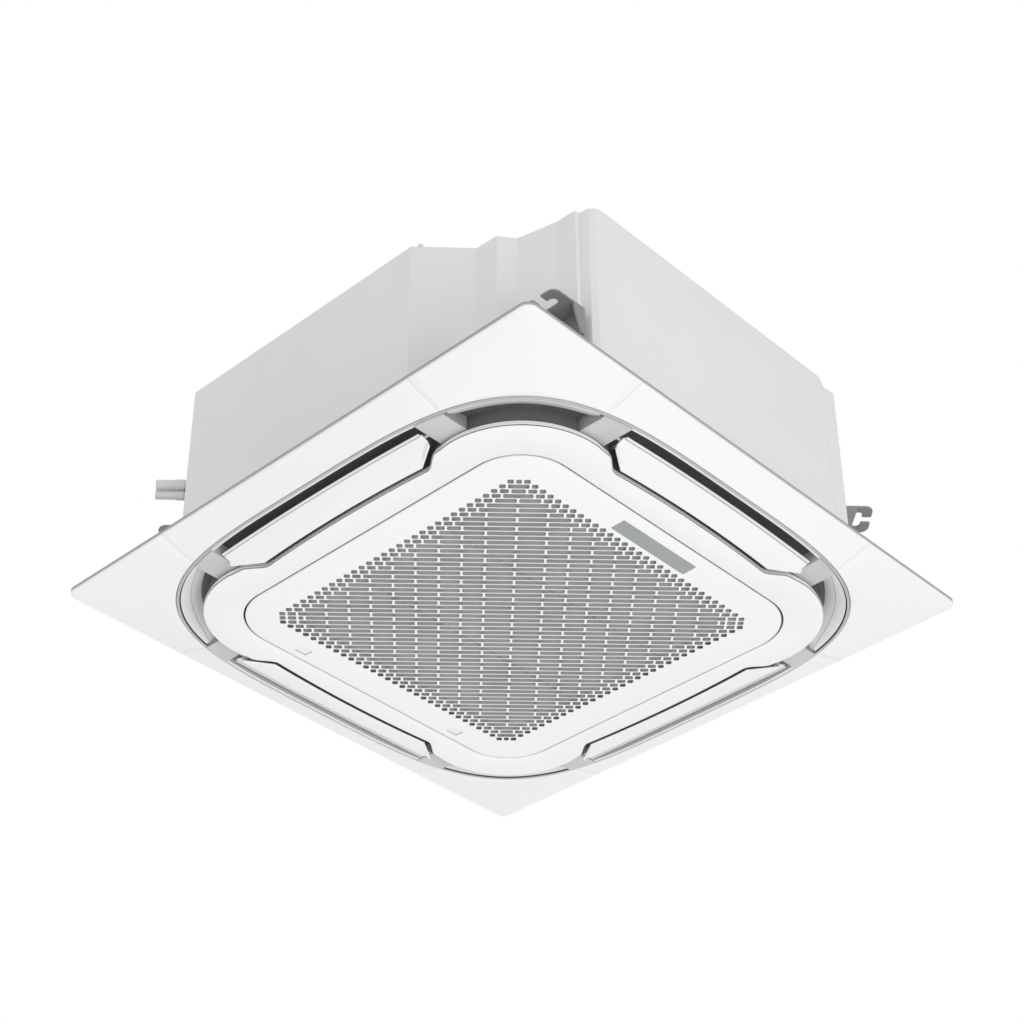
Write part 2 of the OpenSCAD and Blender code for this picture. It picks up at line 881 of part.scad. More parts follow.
// Motor shaft, which carries the wheel
module fan_shaft() {
    color("silver")
    slab(shaft_z, motor_z + motor_h / 3) circle(shaft_r);
}

// Fan wheel: levels of the inlet, of the shroud's edge, of the hub plate and of its dish
eye_z = ceil_z + 62;
shroud_z = eye_z + 44;
shroud_t = 3;
hub_z = 92;
hub_t = 3;
dish_z = 30;
dish_r = 70;
dish_edge_r = 100;
dish_knee_r = 92;
dish_knee_z = 66;
boss_r = 16;
boss_h = 30;
boss_z = dish_z - 14;
blade_in_r = 134;
blade_curve_r = 130;
blade_mid = [188, -116];
blade_trim = [20, 60];
throat_gap = 9;
throat_h = 12;
throat_clear = 6;

// One blade as a curved strip, seen from above
module blade_outline() {
    intersection() {
        difference() {
            translate(blade_mid) circle(blade_curve_r);
            translate(blade_mid) circle(blade_curve_r - blade_t);
        }
        difference() {
            circle(fan_r - sink);
            circle(blade_in_r);
        }
        translate([0, -blade_trim[0]])
            square([fan_r, blade_trim[1]]);
    }
}

// The space that the blades fill: under the hub plate, over the shroud and the throat
module blade_space() {
    low = eye_z + throat_h + throat_clear;
    rotate_extrude($fn = fine)
        polygon([[blade_in_r - sink, hub_z + sink], [blade_in_r - sink, low], [eye_r, low],
            [eye_r, eye_z + sink], [fan_r, shroud_z + sink], [fan_r, hub_z + sink]]);
}

// Fan wheel: hub plate with its dish, blades and inlet shroud
module turbo_fan() {
    color("darkgray")
    difference() {
        union() {
            rotate_extrude($fn = fine)
                polygon([[0, dish_z], [dish_r, dish_z], [dish_knee_r, dish_knee_z],
                    [dish_edge_r, hub_z], [fan_r, hub_z], [fan_r, hub_z + hub_t],
                    [dish_edge_r - hub_t, hub_z + hub_t], [dish_knee_r - hub_t, dish_knee_z + hub_t],
                    [dish_r - hub_t, dish_z + hub_t], [0, dish_z + hub_t]]);
            rotate_extrude($fn = fine)
                polygon([[eye_r, eye_z], [fan_r, shroud_z], [fan_r, shroud_z + shroud_t],
                    [eye_r, eye_z + 2 * shroud_t]]);
            intersection() {
                for (k = [0 : blade_count - 1])
                    rotate(360 / blade_count * k)
                        slab(eye_z, hub_z + sink) blade_outline();
                blade_space();
            }
            slab(boss_z, boss_z + boss_h) circle(boss_r);
        }
        slab(boss_z - cut, boss_z + boss_h + cut) circle(shaft_r + run_gap);
    }
}

nut_h = 8;
nut_r = 9;

// Nut that holds the wheel on its shaft
module fan_nut() {
    color("silver")
    translate([0, 0, boss_z - nut_h - fit_gap])
        difference() {
            cylinder(r = nut_r, h = nut_h, $fn = 6);
            translate([0, 0, -cut])
                cylinder(r = shaft_r + run_gap, h = nut_h + 2 * cut);
        }
}

// Bell mouth: a plate under the pan with a curved throat up into the wheel
bell_t = 2.5;
bell_z = ceil_z - fit_gap - bell_t;
bell_half = 296;
bell_corner = 40;
bell_r = 215;
throat_r = eye_r - throat_gap;
throat_top_z = eye_z + throat_h;
bell_curve = bell_r - throat_r;
throat_mid_z = bell_z + bell_curve;

// Bell mouth that leads the air into the wheel
module bell_mouth() {
    color("whitesmoke")
    difference() {
        union() {
            slab(bell_z, bell_z + bell_t) rounded(bell_half, bell_half, bell_corner);
            rotate_extrude($fn = fine)
                difference() {
                    translate([throat_r, bell_z])
                        square([bell_curve, bell_curve]);
                    translate([bell_r, throat_mid_z])
                        circle(bell_curve - bell_t);
                }
            slab(throat_mid_z - sink, throat_top_z) circle(throat_r + bell_t);
        }
        rotate_extrude($fn = fine)
            difference() {
                translate([0, bell_z - cut])
                    square([bell_r, bell_curve + cut]);
                translate([bell_r, throat_mid_z])
                    circle(bell_curve);
            }
        slab(throat_mid_z - cut, throat_top_z + cut) circle(throat_r);
    }
}

// Control box under the bell mouth's plate, against its edge
box_top_z = bell_z - fit_gap;
box_z = box_top_z - box_h;
box_y = bell_half - box_w;
sheet_t = 1;
inside_z = box_top_z - sheet_t - fit_gap;

// Open tray of the control box
module control_box() {
    color("lightgray")
    difference() {
        block([-box_len / 2, box_y, box_z + sheet_t + fit_gap], [box_len / 2, box_y + box_w, box_top_z]);
        block([-box_len / 2 + sheet_t, box_y + sheet_t, box_z - cut],
            [box_len / 2 - sheet_t, box_y + box_w - sheet_t, box_top_z - sheet_t]);
    }
}

// Lid of the control box
module control_box_cover() {
    color("lightgray")
    block([-box_len / 2, box_y, box_z], [box_len / 2, box_y + box_w, box_z + sheet_t]);
}

board_t = 1.6;
board_edge = 8;
board_z = inside_z - 4 - board_t;
post_r = 3;
post_in = 6;
can_r = 7;
can_h = 12;
can_pitch = 40;
relay_in = 15;
relay_size = [35, 30, 9];
terminal_size = [66, 22, 14];
terminal_gap = 18;
board_len = box_len - 2 * board_edge - terminal_size[0] - terminal_gap;
relay_at = board_len - relay_size[0] - relay_in;

// Control board on its posts, with its capacitors and a relay
module circuit_board() {
    x0 = -box_len / 2 + board_edge;
    y0 = box_y + board_edge;
    depth = box_w - 2 * board_edge;
    color("seagreen")
    translate([x0, y0, board_z]) {
        cube([board_len, depth, board_t]);
        for (x = [post_in, board_len - post_in], y = [post_in, depth - post_in])
            translate([x, y, 0])
                cylinder(r = post_r, h = inside_z - board_z);
        for (i = [0 : 2])
            translate([can_pitch * (i + 1 / 2), depth / 2, -can_h])
                cylinder(r = can_r, h = can_h + sink);
        translate([relay_at, board_edge, -relay_size[2]])
            cube(relay_size + [0, 0, sink]);
    }
}

terminal_count = 6;
terminal_pitch = 10;
terminal_r = 3.2;
terminal_depth = 5;

// Terminal block beside the board
module terminal_block() {
    x0 = box_len / 2 - terminal_size[0] - board_edge;
    color("black")
    translate([x0, box_y + box_w / 2 - terminal_size[1] / 2, inside_z - terminal_size[2]])
        difference() {
            cube(terminal_size);
            for (i = [0 : terminal_count - 1])
                translate([terminal_pitch * (i + 4 / 5), terminal_size[1] / 2, -cut])
                    cylinder(r = terminal_r, h = terminal_depth + cut);
        }
}

edge_round = 2.5;

// Outer form of the panel, from its square edge down to the outlet ring
module panel_form(out, rise) {
    a = panel_side / 2 - out;
    hull() {
        slab(edge_z + rise + edge_round, ceil_z + rise) rounded(a, a, panel_r);
        slab(edge_z + rise, edge_z + rise + edge_round)
            rounded(a - edge_round, a - edge_round, panel_r);
        slab(ring_z + rise, ring_z + rise + edge_round) polygon(ring_pts(ring_half + wall));
    }
}

// The panel's skin, with a hollow back and an opening for the outlet ring
module panel_skin() {
    difference() {
        panel_form(0, 0);
        difference() {
            panel_form(wall, wall);
            slab(ring_z, ceil_z + 2 * wall) polygon(ring_pts(ring_half + fit_gap + wall));
        }
        slab(ring_z - cut, ceil_z + cut) polygon(ring_pts(ring_half + fit_gap));
    }
}

// One corner of the panel, as a block that reaches in to a seam
module corner_zone(i, at) {
    x = [-1, 1, 1, -1][i];
    y = [-1, -1, 1, 1][i];
    slab(ring_z - 2 * cut, ceil_z + 2 * cut)
        polygon([[x * at, y * at], [x * panel_side, y * at],
            [x * panel_side, y * panel_side], [x * at, y * panel_side]]);
}

corner_base_z = ceil_z - 2.5;
base_in = 2 * wall;
screw_r = 2.5;
screw_h = 12;
screw_at = 400;

// Plan of the flat lands under the corner covers, grown by a gap
module land_outline(gap) {
    a = panel_side / 2 - base_in + gap;
    inner = 2 * (seam_at - base_in / 2);
    difference() {
        rounded(a, a, panel_r);
        polygon(ring_pts(ring_half + fit_gap));
        square([inner, panel_side], center = true);
        square([panel_side, inner], center = true);
    }
}

// Main frame of the panel, with a flat land under each corner cover
module panel_frame() {
    color("white")
    difference() {
        union() {
            difference() {
                panel_skin();
                for (i = [0 : 3])
                    corner_zone(i, seam_at - fit_gap / 2);
            }
            slab(corner_base_z, ceil_z) land_outline(0);
        }
        for (x = [-1, 1], y = [-1, 1])
            translate([x * screw_at, y * screw_at, 0])
                slab(corner_base_z - cut, ceil_z + cut) circle(screw_r + fit_gap);
    }
}

// Corner cover, which clips over a corner of the frame
module corner_cover(i) {
    a = panel_side / 2 - base_in + fit_gap;
    color("white")
    difference() {
        intersection() {
            panel_skin();
            corner_zone(i, seam_at + fit_gap / 2);
        }
        slab(corner_base_z - fit_gap, ceil_z + cut) rounded(a, a, panel_r);
    }
}

// Screws of the panel, one on the land under each corner cover
module panel_screws() {
    color("silver")
    for (x = [-1, 1], y = [-1, 1])
        translate([x * screw_at, y * screw_at, corner_base_z])
            screw(screw_r, screw_h);
}

lip_low = 0.6;
duct_in = skirt_t + 1;
block_floor = 2;
block_in = frame_half - duct_in - sink;
pocket_in = frame_half + 4;
pocket_out = ring_half - 2 * ring_wall;
bearing_t = 4.5;

// Bridge block beside a flap, hollow for a swing motor; side is -1 or 1
module bridge(side) {
    s0 = side > 0 ? block_s : -block_s - block_w;
    s1 = s0 + block_w;
    low = side > 0 ? bearing_t : wall;
    high = side > 0 ? wall : bearing_t;
    difference() {
        block([block_in, s0, block_z], [ring_half - sink, s1, duct_plate_z + sink]);
        block([pocket_in, s0 + low, block_z + block_floor], [pocket_out, s1 - high, duct_plate_z + 2 * sink]);
        translate([pivot_x, s0 - cut, pivot_z])
            rotate([-90, 0, 0])
                cylinder(r = pin_r + run_gap, h = block_w + 2 * cut);
    }
}

// Air outlet duct of the panel: outer ring, inner wall, slotted top and bridge blocks
module outlet_duct() {
    a = skirt_half + skirt_t + fit_gap;
    color("silver")
    difference() {
        union() {
            difference() {
                slab(ring_z - lip_low, duct_top_z) polygon(ring_pts(ring_half));
                slab(ring_z - cut, duct_plate_z) polygon(ring_pts(ring_half - ring_wall));
            }
            slab(face_z + wall + fit_gap, duct_plate_z + sink)
                difference() {
                    polygon(inset(frame_pts, duct_in));
                    polygon(inset(frame_pts, duct_in + skirt_t));
                }
            intersection() {
                for (k = [0 : 3], side = [-1, 1])
                    rotate(90 * k)
                        bridge(side);
                slab(block_z - cut, duct_plate_z + sink) polygon(ring_pts(ring_half - sink));
            }
        }
        slab(ring_z - 2 * cut, duct_top_z + cut) rounded(a, a, opening_r);
        for (k = [0 : 3])
            rotate(90 * k)
                block([duct_slot_in, -duct_slot_s, duct_plate_z - cut],
                    [k % 2 == 0 ? slot_out_x : slot_out_y, duct_slot_s, duct_top_z + cut]);
    }
}

// Space over the duct and under the casing, less a distance from its edge
module gasket_form(d) {
    intersection() {
        polygon(inset(core_pts, steel_t + d));
        polygon(ring_pts(ring_half - d));
    }
}

// Foam gasket between the duct and the casing
module panel_gasket() {
    color("dimgray")
    slab(duct_top_z, ceil_z)
        difference() {
            gasket_form(0);
            gasket_form(gasket_w);
        }
}

frame_skirt_z = face_z + 10.3;
knuckle_w = 12;
knuckle_r = 4;
ear_w = 5;
ear_r = 4;
neck_t = 3;
neck_z = hinge_z + 9.5;
neck_in = 21;

// The two places of the grille's hinges
module at_hinges() {
    for (y = [-1, 1])
        translate([hinge_x, y * hinge_y, 0])
            children();
}

// A round bar along Y on the hinge axis
module hinge_bar(r, len) {
    translate([0, 0, hinge_z])
        rotate([90, 0, 0])
            cylinder(r = r, h = len, center = true);
}

// White inner frame round the grille, with its skirts and the ears of the hinges
module inner_frame() {
    window_w = knuckle_w + 2 * fit_gap;
    color("white")
    difference() {
        union() {
            slab(face_z, face_z + wall)
                difference() {
                    polygon(frame_pts);
                    rounded(opening_half, opening_half, opening_r);
                }
            slab(face_z + wall / 2, frame_skirt_z)
                difference() {
                    polygon(frame_pts);
                    polygon(inset(frame_pts, skirt_t));
                }
            slab(face_z + wall / 2, skirt_top_z)
                difference() {
                    rounded(skirt_half + skirt_t, skirt_half + skirt_t, opening_r + ledge);
                    rounded(skirt_half, skirt_half, opening_r);
                }
            at_hinges()
                for (side = [-1, 1])
                    translate([0, side * (window_w + ear_w) / 2, 0])
                        block([skirt_half - hinge_x + sink, -ear_w / 2, face_z + wall / 2],
                            [ear_r, ear_w / 2, hinge_z + ear_r]);
        }
        at_hinges() {
            hinge_bar(pin_r + run_gap, 4 * knuckle_w);
            block([skirt_half - hinge_x - cut, -window_w / 2, face_z + wall],
                [ear_r + cut, window_w / 2, skirt_top_z + cut]);
        }
    }
}

// Hinge pins of the grille, fixed in the frame's ears
module hinge_pins() {
    color("silver")
    at_hinges()
        hinge_bar(pin_r, knuckle_w + 2 * ear_w + 2 * fit_gap);
}

// A neck of the grille: over the frame's edge, from a knuckle to the plate
module grille_neck() {
    at_hinges() {
        hinge_bar(knuckle_r, knuckle_w);
        block([-knuckle_r, -knuckle_w / 2, hinge_z], [-knuckle_r + neck_t, knuckle_w / 2, neck_z + neck_t]);
        block([-neck_in, -knuckle_w / 2, neck_z], [-knuckle_r + neck_t, knuckle_w / 2, neck_z + neck_t]);
        block([-neck_in, -knuckle_w / 2, face_z + wall / 3],
            [-neck_in + neck_t, knuckle_w / 2, neck_z + neck_t]);
    }
}

field_r = 30;

// Solid form of the grille, lowered by its bulge in the middle and raised by a height
module grille_form(z) {
    hull() {
        slab(face_z + z, face_z + z + fit_gap) rounded(grille_half, grille_half, grille_r);
        slab(field_z + z, field_z + z + fit_gap) rounded(field_half, field_half, field_r);
    }
}

slots_reach = slots_half * sqrt(2);
row_count = floor((slots_reach - slot_w) * 2 / row_pitch);

// One row of slots along X at v, as long as the square field allows, broken by ribs
module slot_row(v, shift) {
    reach = slots_reach - abs(v);
    for (i = [floor((-reach - shift) / rib_pitch) : ceil((reach - shift) / rib_pitch)]) {
        a = max(-reach, i * rib_pitch + shift + rib_w / 2);
        b = min(reach, (i + 1) * rib_pitch + shift - rib_w / 2);
        if (b - a > slot_w)
            translate([a, v - slot_w / 2])
                square([b - a, slot_w]);
    }
}

// Suction grille: domed plate with slots at 45 degrees, latch windows and hinge knuckles
module suction_grille() {
    back = grille_half + wall;
    color("white")
    difference() {
        union() {
            difference() {
                union() {
                    grille_form(0);
                    slab(face_z, face_z + wall) rounded(grille_half, grille_half, grille_r);
                }
                grille_form(wall);
                slab(face_z + wall, face_z + 3 * wall) rounded(back, back, grille_r);
            }
            grille_neck();
        }
        at_hinges()
            hinge_bar(pin_r + run_gap, 2 * knuckle_w);
        slab(field_z - cut, face_z + wall + cut)
            rotate(45)
                for (j = [0 : row_count - 1])
                    slot_row((j - (row_count - 1) / 2) * row_pitch, j % 2 == 0 ? 0 : rib_pitch / 2);
        for (y = [-1, 1])
            translate([-latch_x, y * latch_y, 0])
                slab(field_z - cut, face_z + 2 * wall) square(latch_win, center = true);
    }
}

latch_t = 2.4;
latch_w = 34;
latch_gap = 0.4;
latch_back = 276;
latch_front = 304;
latch_pad = 9;
latch_proud = 1;
latch_tip = opening_half - latch_gap;

// Sliding latch of the grille: plate, tongue and the pad seen through the window
module grille_latch(side) {
    plate_z = face_z + wall + fit_gap;
    pad_x = -latch_x - latch_win[0] / 2 + 2 * fit_gap;
    pad_w = latch_win[1] - 4 * fit_gap;
    color("white")
    translate([0, side * latch_y, 0]) {
        block([-latch_front, -latch_w / 2, plate_z], [-latch_back, latch_w / 2, plate_z + latch_t]);
        block([-latch_tip, -latch_w / 4, plate_z], [-latch_back, latch_w / 4, plate_z + latch_t]);
        block([pad_x, -pad_w / 2, face_z - latch_proud], [pad_x + latch_pad, pad_w / 2, plate_z + latch_t]);
    }
}

filter_half = 265;
filter_r = 20;
filter_rim = 7;
filter_h = 5;
filter_bar = 4;
filter_z = field_z + wall + 3 * fit_gap;
mesh_t = 1;

// Two bars that divide the filter, widened by a gap on each side
module filter_bars(gap) {
    for (k = [-1, 1])
        translate([k * filter_half / 3, 0])
            square([filter_bar + 2 * gap, 2 * filter_half], center = true);
}

// Plastic frame of the air filter, with its bars
module filter_frame() {
    inner = filter_half - filter_rim;
    color("lightgray")
    slab(filter_z, filter_z + filter_h)
        difference() {
            rounded(filter_half, filter_half, filter_r);
            difference() {
                rounded(inner, inner, filter_r - filter_rim);
                filter_bars(0);
            }
        }
}

// Fine mesh of the filter, in the three bays of its frame
module filter_mesh() {
    inner = filter_half - filter_rim - fit_gap;
    color("gray")
    slab(filter_z + mesh_t, filter_z + 2 * mesh_t)
        difference() {
            rounded(inner, inner, filter_r - filter_rim - fit_gap);
            filter_bars(fit_gap);
        }
}

badge_t = 0.8;

// Bare plate on the grille's sloping border, where a name would be
module blank_badge() {
    border = grille_half - field_half;
    color("darkgray")
    translate([badge_x, 0, field_z + grille_bulge * (badge_x - field_half) / border - fit_gap / 2])
        rotate([0, -atan(grille_bulge / border), 0])
            translate([-badge_size[0] / 2, -badge_size[1] / 2, -badge_t])
                cube([badge_size[0], badge_size[1], badge_t]);
}

flap_lift = 2.5;
flap_lean_share = 0.22;
flap_z = face_z + flap_lift;
flap_rib_t = 2;
flap_rib_h = 3;
arm_t = 4;
arm_w = 8;
arm_s = flap_s - 7;
pin_len = 11;

// Air flap number k: skin, a stiffening rib, end arms and pivot pins
module flap(k) {
    foot_x = recess_edge(recess_s) + flap_gap;
    skin_top = flap_z + flap_t + flap_lean_share * (pivot_x - foot_x - arm_w / 2);
    color("white")
    rotate(90 * k) {
        multmatrix([[1, 0, 0, 0], [0, 1, 0, 0], [flap_lean_share, 0, 1, -flap_lean_share * foot_x],
                [0, 0, 0, 1]])
            slab(flap_z, flap_z + flap_t) polygon(flap_pts);
        translate([pivot_x, 0, 0])
            block([-flap_rib_t / 2, -arm_s, skin_top - fit_gap],
                [flap_rib_t / 2, arm_s, skin_top + flap_rib_h]);
        for (side = [-1, 1])
            translate([pivot_x, side * arm_s, 0]) {
                block([-arm_w / 2, -arm_t / 2, skin_top - fit_gap], [arm_w / 2, arm_t / 2, pivot_z]);
                translate([0, 0, pivot_z])
                    rotate([90, 0, 0])
                        cylinder(r = arm_w / 2, h = arm_t, center = true);
                translate([0, 0, pivot_z])
                    rotate([-90 * side, 0, 0])
                        cylinder(r = pin_r, h = flap_s - arm_s + pin_len);
            }
    }
}

swing_r = 8;
swing_h = 16;
swing_up = 6.6;
swing_nose = 4;

// Small geared motor beside a flap's end, inside a bridge block
module swing_motor(k) {
    color("lightgray")
    rotate(90 * k)
        translate([pivot_x, flap_s + pin_len + fit_gap, pivot_z])
            rotate([-90, 0, 0]) {
                cylinder(r = pin_r - fit_gap, h = swing_nose);
                translate([0, -swing_up, swing_nose / 2])
                    cylinder(r = swing_r, h = swing_h);
            }
}

casing_shell();
top_plate();
casing_insulation();
hanger_bracket(0);  // hanger_bracket_1
hanger_bracket(1);  // hanger_bracket_2
hanger_bracket(2);  // hanger_bracket_3
hanger_bracket(3);  // hanger_bracket_4
exchanger_fins();
exchanger_tubes();
exchanger_end_plates();
gas_pipe();
liquid_pipe();
pipe_cover_plate();
pipe_grommet();
drain_pan();
drain_plug();
drain_pump_housing();
drain_pump_motor();
drain_pump_impeller();
drain_hose();
drain_socket();
float_stem();
float();
fan_motor();
motor_bracket();
rubber_mounts();
fan_shaft();
turbo_fan();
fan_nut();
bell_mouth();
control_box();
control_box_cover();
circuit_board();
terminal_block();
panel_frame();
corner_cover(0);  // corner_cover_1
corner_cover(1);  // corner_cover_2
corner_cover(2);  // corner_cover_3
corner_cover(3);  // corner_cover_4
outlet_duct();
inner_frame();
suction_grille();
filter_frame();
filter_mesh();
hinge_pins();
grille_latch(-1);  // grille_latch_1
grille_latch(1);  // grille_latch_2
flap(0);  // flap_1
flap(1);  // flap_2
flap(2);  // flap_3
flap(3);  // flap_4
swing_motor(0);  // swing_motor_1
swing_motor(1);  // swing_motor_2
swing_motor(2);  // swing_motor_3
swing_motor(3);  // swing_motor_4
blank_badge();
panel_gasket();
panel_screws();
casing_screws();
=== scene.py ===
"""Ceiling cassette air conditioner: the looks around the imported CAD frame.

Lengths in the tables below are in millimetres, in the CAD's own frame, and are
turned into metres where a mesh is made.
"""

import json
import math

import bmesh
import bpy
from mathutils import Matrix, Vector
from mathutils.geometry import delaunay_2d_cdt


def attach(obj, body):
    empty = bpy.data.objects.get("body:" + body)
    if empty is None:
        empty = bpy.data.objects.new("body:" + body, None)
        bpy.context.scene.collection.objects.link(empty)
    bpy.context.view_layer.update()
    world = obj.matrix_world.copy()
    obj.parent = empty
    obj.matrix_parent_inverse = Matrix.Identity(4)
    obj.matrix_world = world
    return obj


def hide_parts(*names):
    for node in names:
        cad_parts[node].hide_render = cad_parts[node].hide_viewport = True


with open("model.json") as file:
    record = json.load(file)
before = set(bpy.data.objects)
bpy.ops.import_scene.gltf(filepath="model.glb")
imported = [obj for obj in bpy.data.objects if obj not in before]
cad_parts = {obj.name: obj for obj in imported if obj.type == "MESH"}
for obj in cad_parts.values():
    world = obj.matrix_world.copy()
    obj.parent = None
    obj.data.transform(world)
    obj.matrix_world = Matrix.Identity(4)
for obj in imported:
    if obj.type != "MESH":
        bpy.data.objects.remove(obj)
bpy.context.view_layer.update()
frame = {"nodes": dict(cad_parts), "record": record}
NODES = frame["nodes"]
SLOT_OF = {p["node"]: p["material_slot"] for p in frame["record"]["subparts"]}
MM = 0.001


# Sizes that the pieces share, in millimetres; the unit's face looks down, to lower z

# Panel: half side, corner radius, wall; heights of its ceiling side, lower edge and inner border
PANEL_HALF, PANEL_R, PANEL_WALL = 475.0, 16.0, 3.0
CEILING_Z, EDGE_Z, RING_Z = -125.0, -133.0, -151.0
# Rounding of the panel's edge; place, width and depth of the seams beside the corner covers
EDGE_ROUND, SEAM_AT, SEAM_GAP, SEAM_DIP = 4.0, 253.0, 0.3, 0.35
# Outlet ring: reach, power of its rounded square, height of its lip, the panel's inner border
RING_OUT, RING_IN, RING_POWER, LIP_Z = 427.4, 420.0, 3.85, -151.6
PANEL_IN = RING_OUT + 0.9
# Groove between lip and guides, border of the guides, duct's top
GROOVE_OUT, GROOVE_IN, GROOVE_TOP, GUIDE_Z = 423.6, 422.2, -143.0, -149.2
DUCT_TOP_Z, PLATE_Z = -129.0, -132.0
# Bridge blocks: start and end along the side, inner end, face, reach where the guides start
BLOCK_S0, BLOCK_S1, BLOCK_IN, BLOCK_Z, BLOCK_FAR = 208.0, 255.0, 362.5, -154.0, 399.0
# Crease of the corner guides: reach and height at the middle, and their change to the blocks
CREASE_D, CREASE_OUT, CREASE_Z, CREASE_DROP = 409.5, 7.5, -141.4, 6.4
GUIDE_STEPS, GUIDE_STRIPS, CREASE_STRIP = 36, 8, 4
# Air slots in the duct's top plate: inner and outer edge, half length
AIR_IN, AIR_OUT, AIR_HALF = 350.0, 372.0, 178.0
# Inner frame: flap recess (half length, reach, bow), corner bulge (start, reach, arc, growth)
RECESS_HALF, RECESS_D, RECESS_BOW = 162.0, 346.0, 6.0
BULGE_AT, BULGE_D, BULGE_C, BULGE_R, BULGE_GROW = 201.0, 367.0, 229.0, 138.0, 2.6
# Faces of the frame, of the slotted field and of the seam; the grille's opening and its skirt
FACE_Z, FIELD_Z, SEAM_Z = -167.3, -171.6, -169.6
OPENING_HALF, OPENING_R, SKIRT_IN, SKIRT_OUT, SKIRT_TOP = 310.6, 85.0, 3.0, 5.5, -145.0
# Grille: outline, rim height, inset of the flat sheet from the outline, slotted field
GRILLE_HALF, GRILLE_R, RIM_Z, RIM_INSET = 307.8, 82.2, -170.3, 1.6
FIELD_HALF, FIELD_R, PLATE_T = 266.0, 20.0, 1.1
# Rows of slots at 45 degrees: count each way, pitch, slot width, middle of the pattern
ROWS_EACH_WAY, ROW_PITCH, SLOT_W, ROW_CENTRE = 31, 11.05, 9.6, (-3.0, 3.2)
# Longest half row, half length that shrinks row by row; end cells, ribs and pitch between ribs
TIP_HALF, ROW_REACH = 347.0, 358.6
END_CELL, SECOND_CELL, RIB_W = 9.0, 12.6, 3.2
RIB_PITCH, EVEN_RIB, ODD_RIB = 66.6, 43.5, 77.2
# Goosenecks of the grille: hinge place, top, place and half width along the hinge
HINGE_X, HINGE_Z, NECK_TOP, NECK_Y, NECK_HALF = 319.5, -159.5, -150.0, 150.0, 6.0
# Latches: place, half sizes of the window, travel; the plain plate: place and half sizes
LATCH_X, LATCH_Y, LATCH_HX, LATCH_HY, LATCH_TRAVEL = -286.0, 164.0, 8.3, 11.2, 7.0
BADGE_X, BADGE_HX, BADGE_HY = 275.5, 12.5, 79.0
# Flaps: half length, inner edge, corner cut, outer edge, bow of the outer edge
FLAP_HALF, FLAP_IN, FLAP_CUT, FLAP_OUT, FLAP_BOW = 203.0, 353.6, 27.0, 400.6, 4.0
# A flap's slope: start, width, lowest height, rise; the vane: half length, outer edge, strip of painted
# shade
SLOPE_D, SLOPE_W, FLAP_LOW, FLAP_RISE = 361.0, 40.0, -165.9, 12.2
VANE_HALF, VANE_OUT, VANE_SHADOW = 201.4, 406.2, 10
# Flap arms and pivots: pivot place, arm's start and end along the side, pin's start and end
PIVOT_D, PIVOT_Z, ARM_IN, ARM_OUT, PIN_IN, PIN_OUT = 387.0, -150.0, 194.0, 198.0, 197.0, 213.0
# Hanger brackets: half width, nose, rounding, sheet, flange; pocket and mouth; gusset; bolt heads
HOOK_HALF, HOOK_NOSE, HOOK_ROUND, HOOK_T, HOOK_FLANGE = 33.0, 21.5, 13.0, 3.0, 60.0
POCKET_LONG, POCKET_R, MOUTH_HALF, MOUTH_LIP = 18.3, 6.4, 6.2, 3.0
FLANGE_R, GUSSET_SHORT, GUSSET_OUT, BOLT_R, BOLT_H, BOLT_DROP = 8.0, 14.0, 22.0, 6.0, 4.0, 38.0
# Rod position, turn in degrees, pocket centre from the rod (out, side), wall behind the pocket
HOOKS = [((-390.0, -355.0), 225.0, (-1.2, -11.5), 27.0), ((390.0, -355.0), -90.0, (-12.0, -3.5), 40.7),
         ((390.0, 355.0), 45.0, (-1.2, -11.5), 27.0), ((-390.0, 355.0), 135.0, (-1.2, 11.5), 27.0)]


# Colours and materials

def shade(r, g, b):
    """A colour given as 8 bit display values, turned into linear light."""
    out = []
    for v in (r, g, b):
        c = v / 255.0
        out.append(c / 12.92 if c <= 0.04045 else ((c + 0.055) / 1.055) ** 2.4)
    return (*out, 1.0)


def blank_material():
    mat = bpy.data.materials.new("surface")
    mat.use_nodes = True
    tree = mat.node_tree
    return mat, tree, tree.nodes["Principled BSDF"]


def object_coords(tree, stretch=(1.0, 1.0, 1.0)):
    """Object coordinates in metres, with an optional stretch per axis."""
    coords = tree.nodes.new("ShaderNodeTexCoord")
    mapping = tree.nodes.new("ShaderNodeMapping")
    mapping.inputs["Scale"].default_value = stretch
    tree.links.new(coords.outputs["Object"], mapping.inputs["Vector"])
    return mapping.outputs["Vector"]


def noise(tree, vector, scale, detail=3.0, rough=0.5):
    node = tree.nodes.new("ShaderNodeTexNoise")
    node.inputs["Scale"].default_value = scale
    node.inputs["Detail"].default_value = detail
    node.inputs["Roughness"].default_value = rough
    tree.links.new(vector, node.inputs["Vector"])
    return node.outputs["Fac"]


def voronoi(tree, vector, scale):
    """Voronoi cells, for the spangle of zinc and the beads of foam."""
    node = tree.nodes.new("ShaderNodeTexVoronoi")
    node.inputs["Scale"].default_value = scale
    tree.links.new(vector, node.inputs["Vector"])
    return node


def ramp(tree, fac, stops):
    """A colour ramp from stops of a place and an 8 bit colour."""
    node = tree.nodes.new("ShaderNodeValToRGB")
    els = node.color_ramp.elements
    while len(els) > 1:
        els.remove(els[-1])
    els[0].position, els[0].color = stops[0][0], shade(*stops[0][1])
    for place, colour in stops[1:]:
        els.new(place).color = shade(*colour)
    tree.links.new(fac, node.inputs["Fac"])
    return node.outputs["Color"]


def dress(tree, bsdf, tone, stops, gloss):
    """Colours a surface by a tone and gives it an uneven gloss."""
    tree.links.new(ramp(tree, tone, stops), bsdf.inputs["Base Color"])
    tree.links.new(gloss, bsdf.inputs["Roughness"])


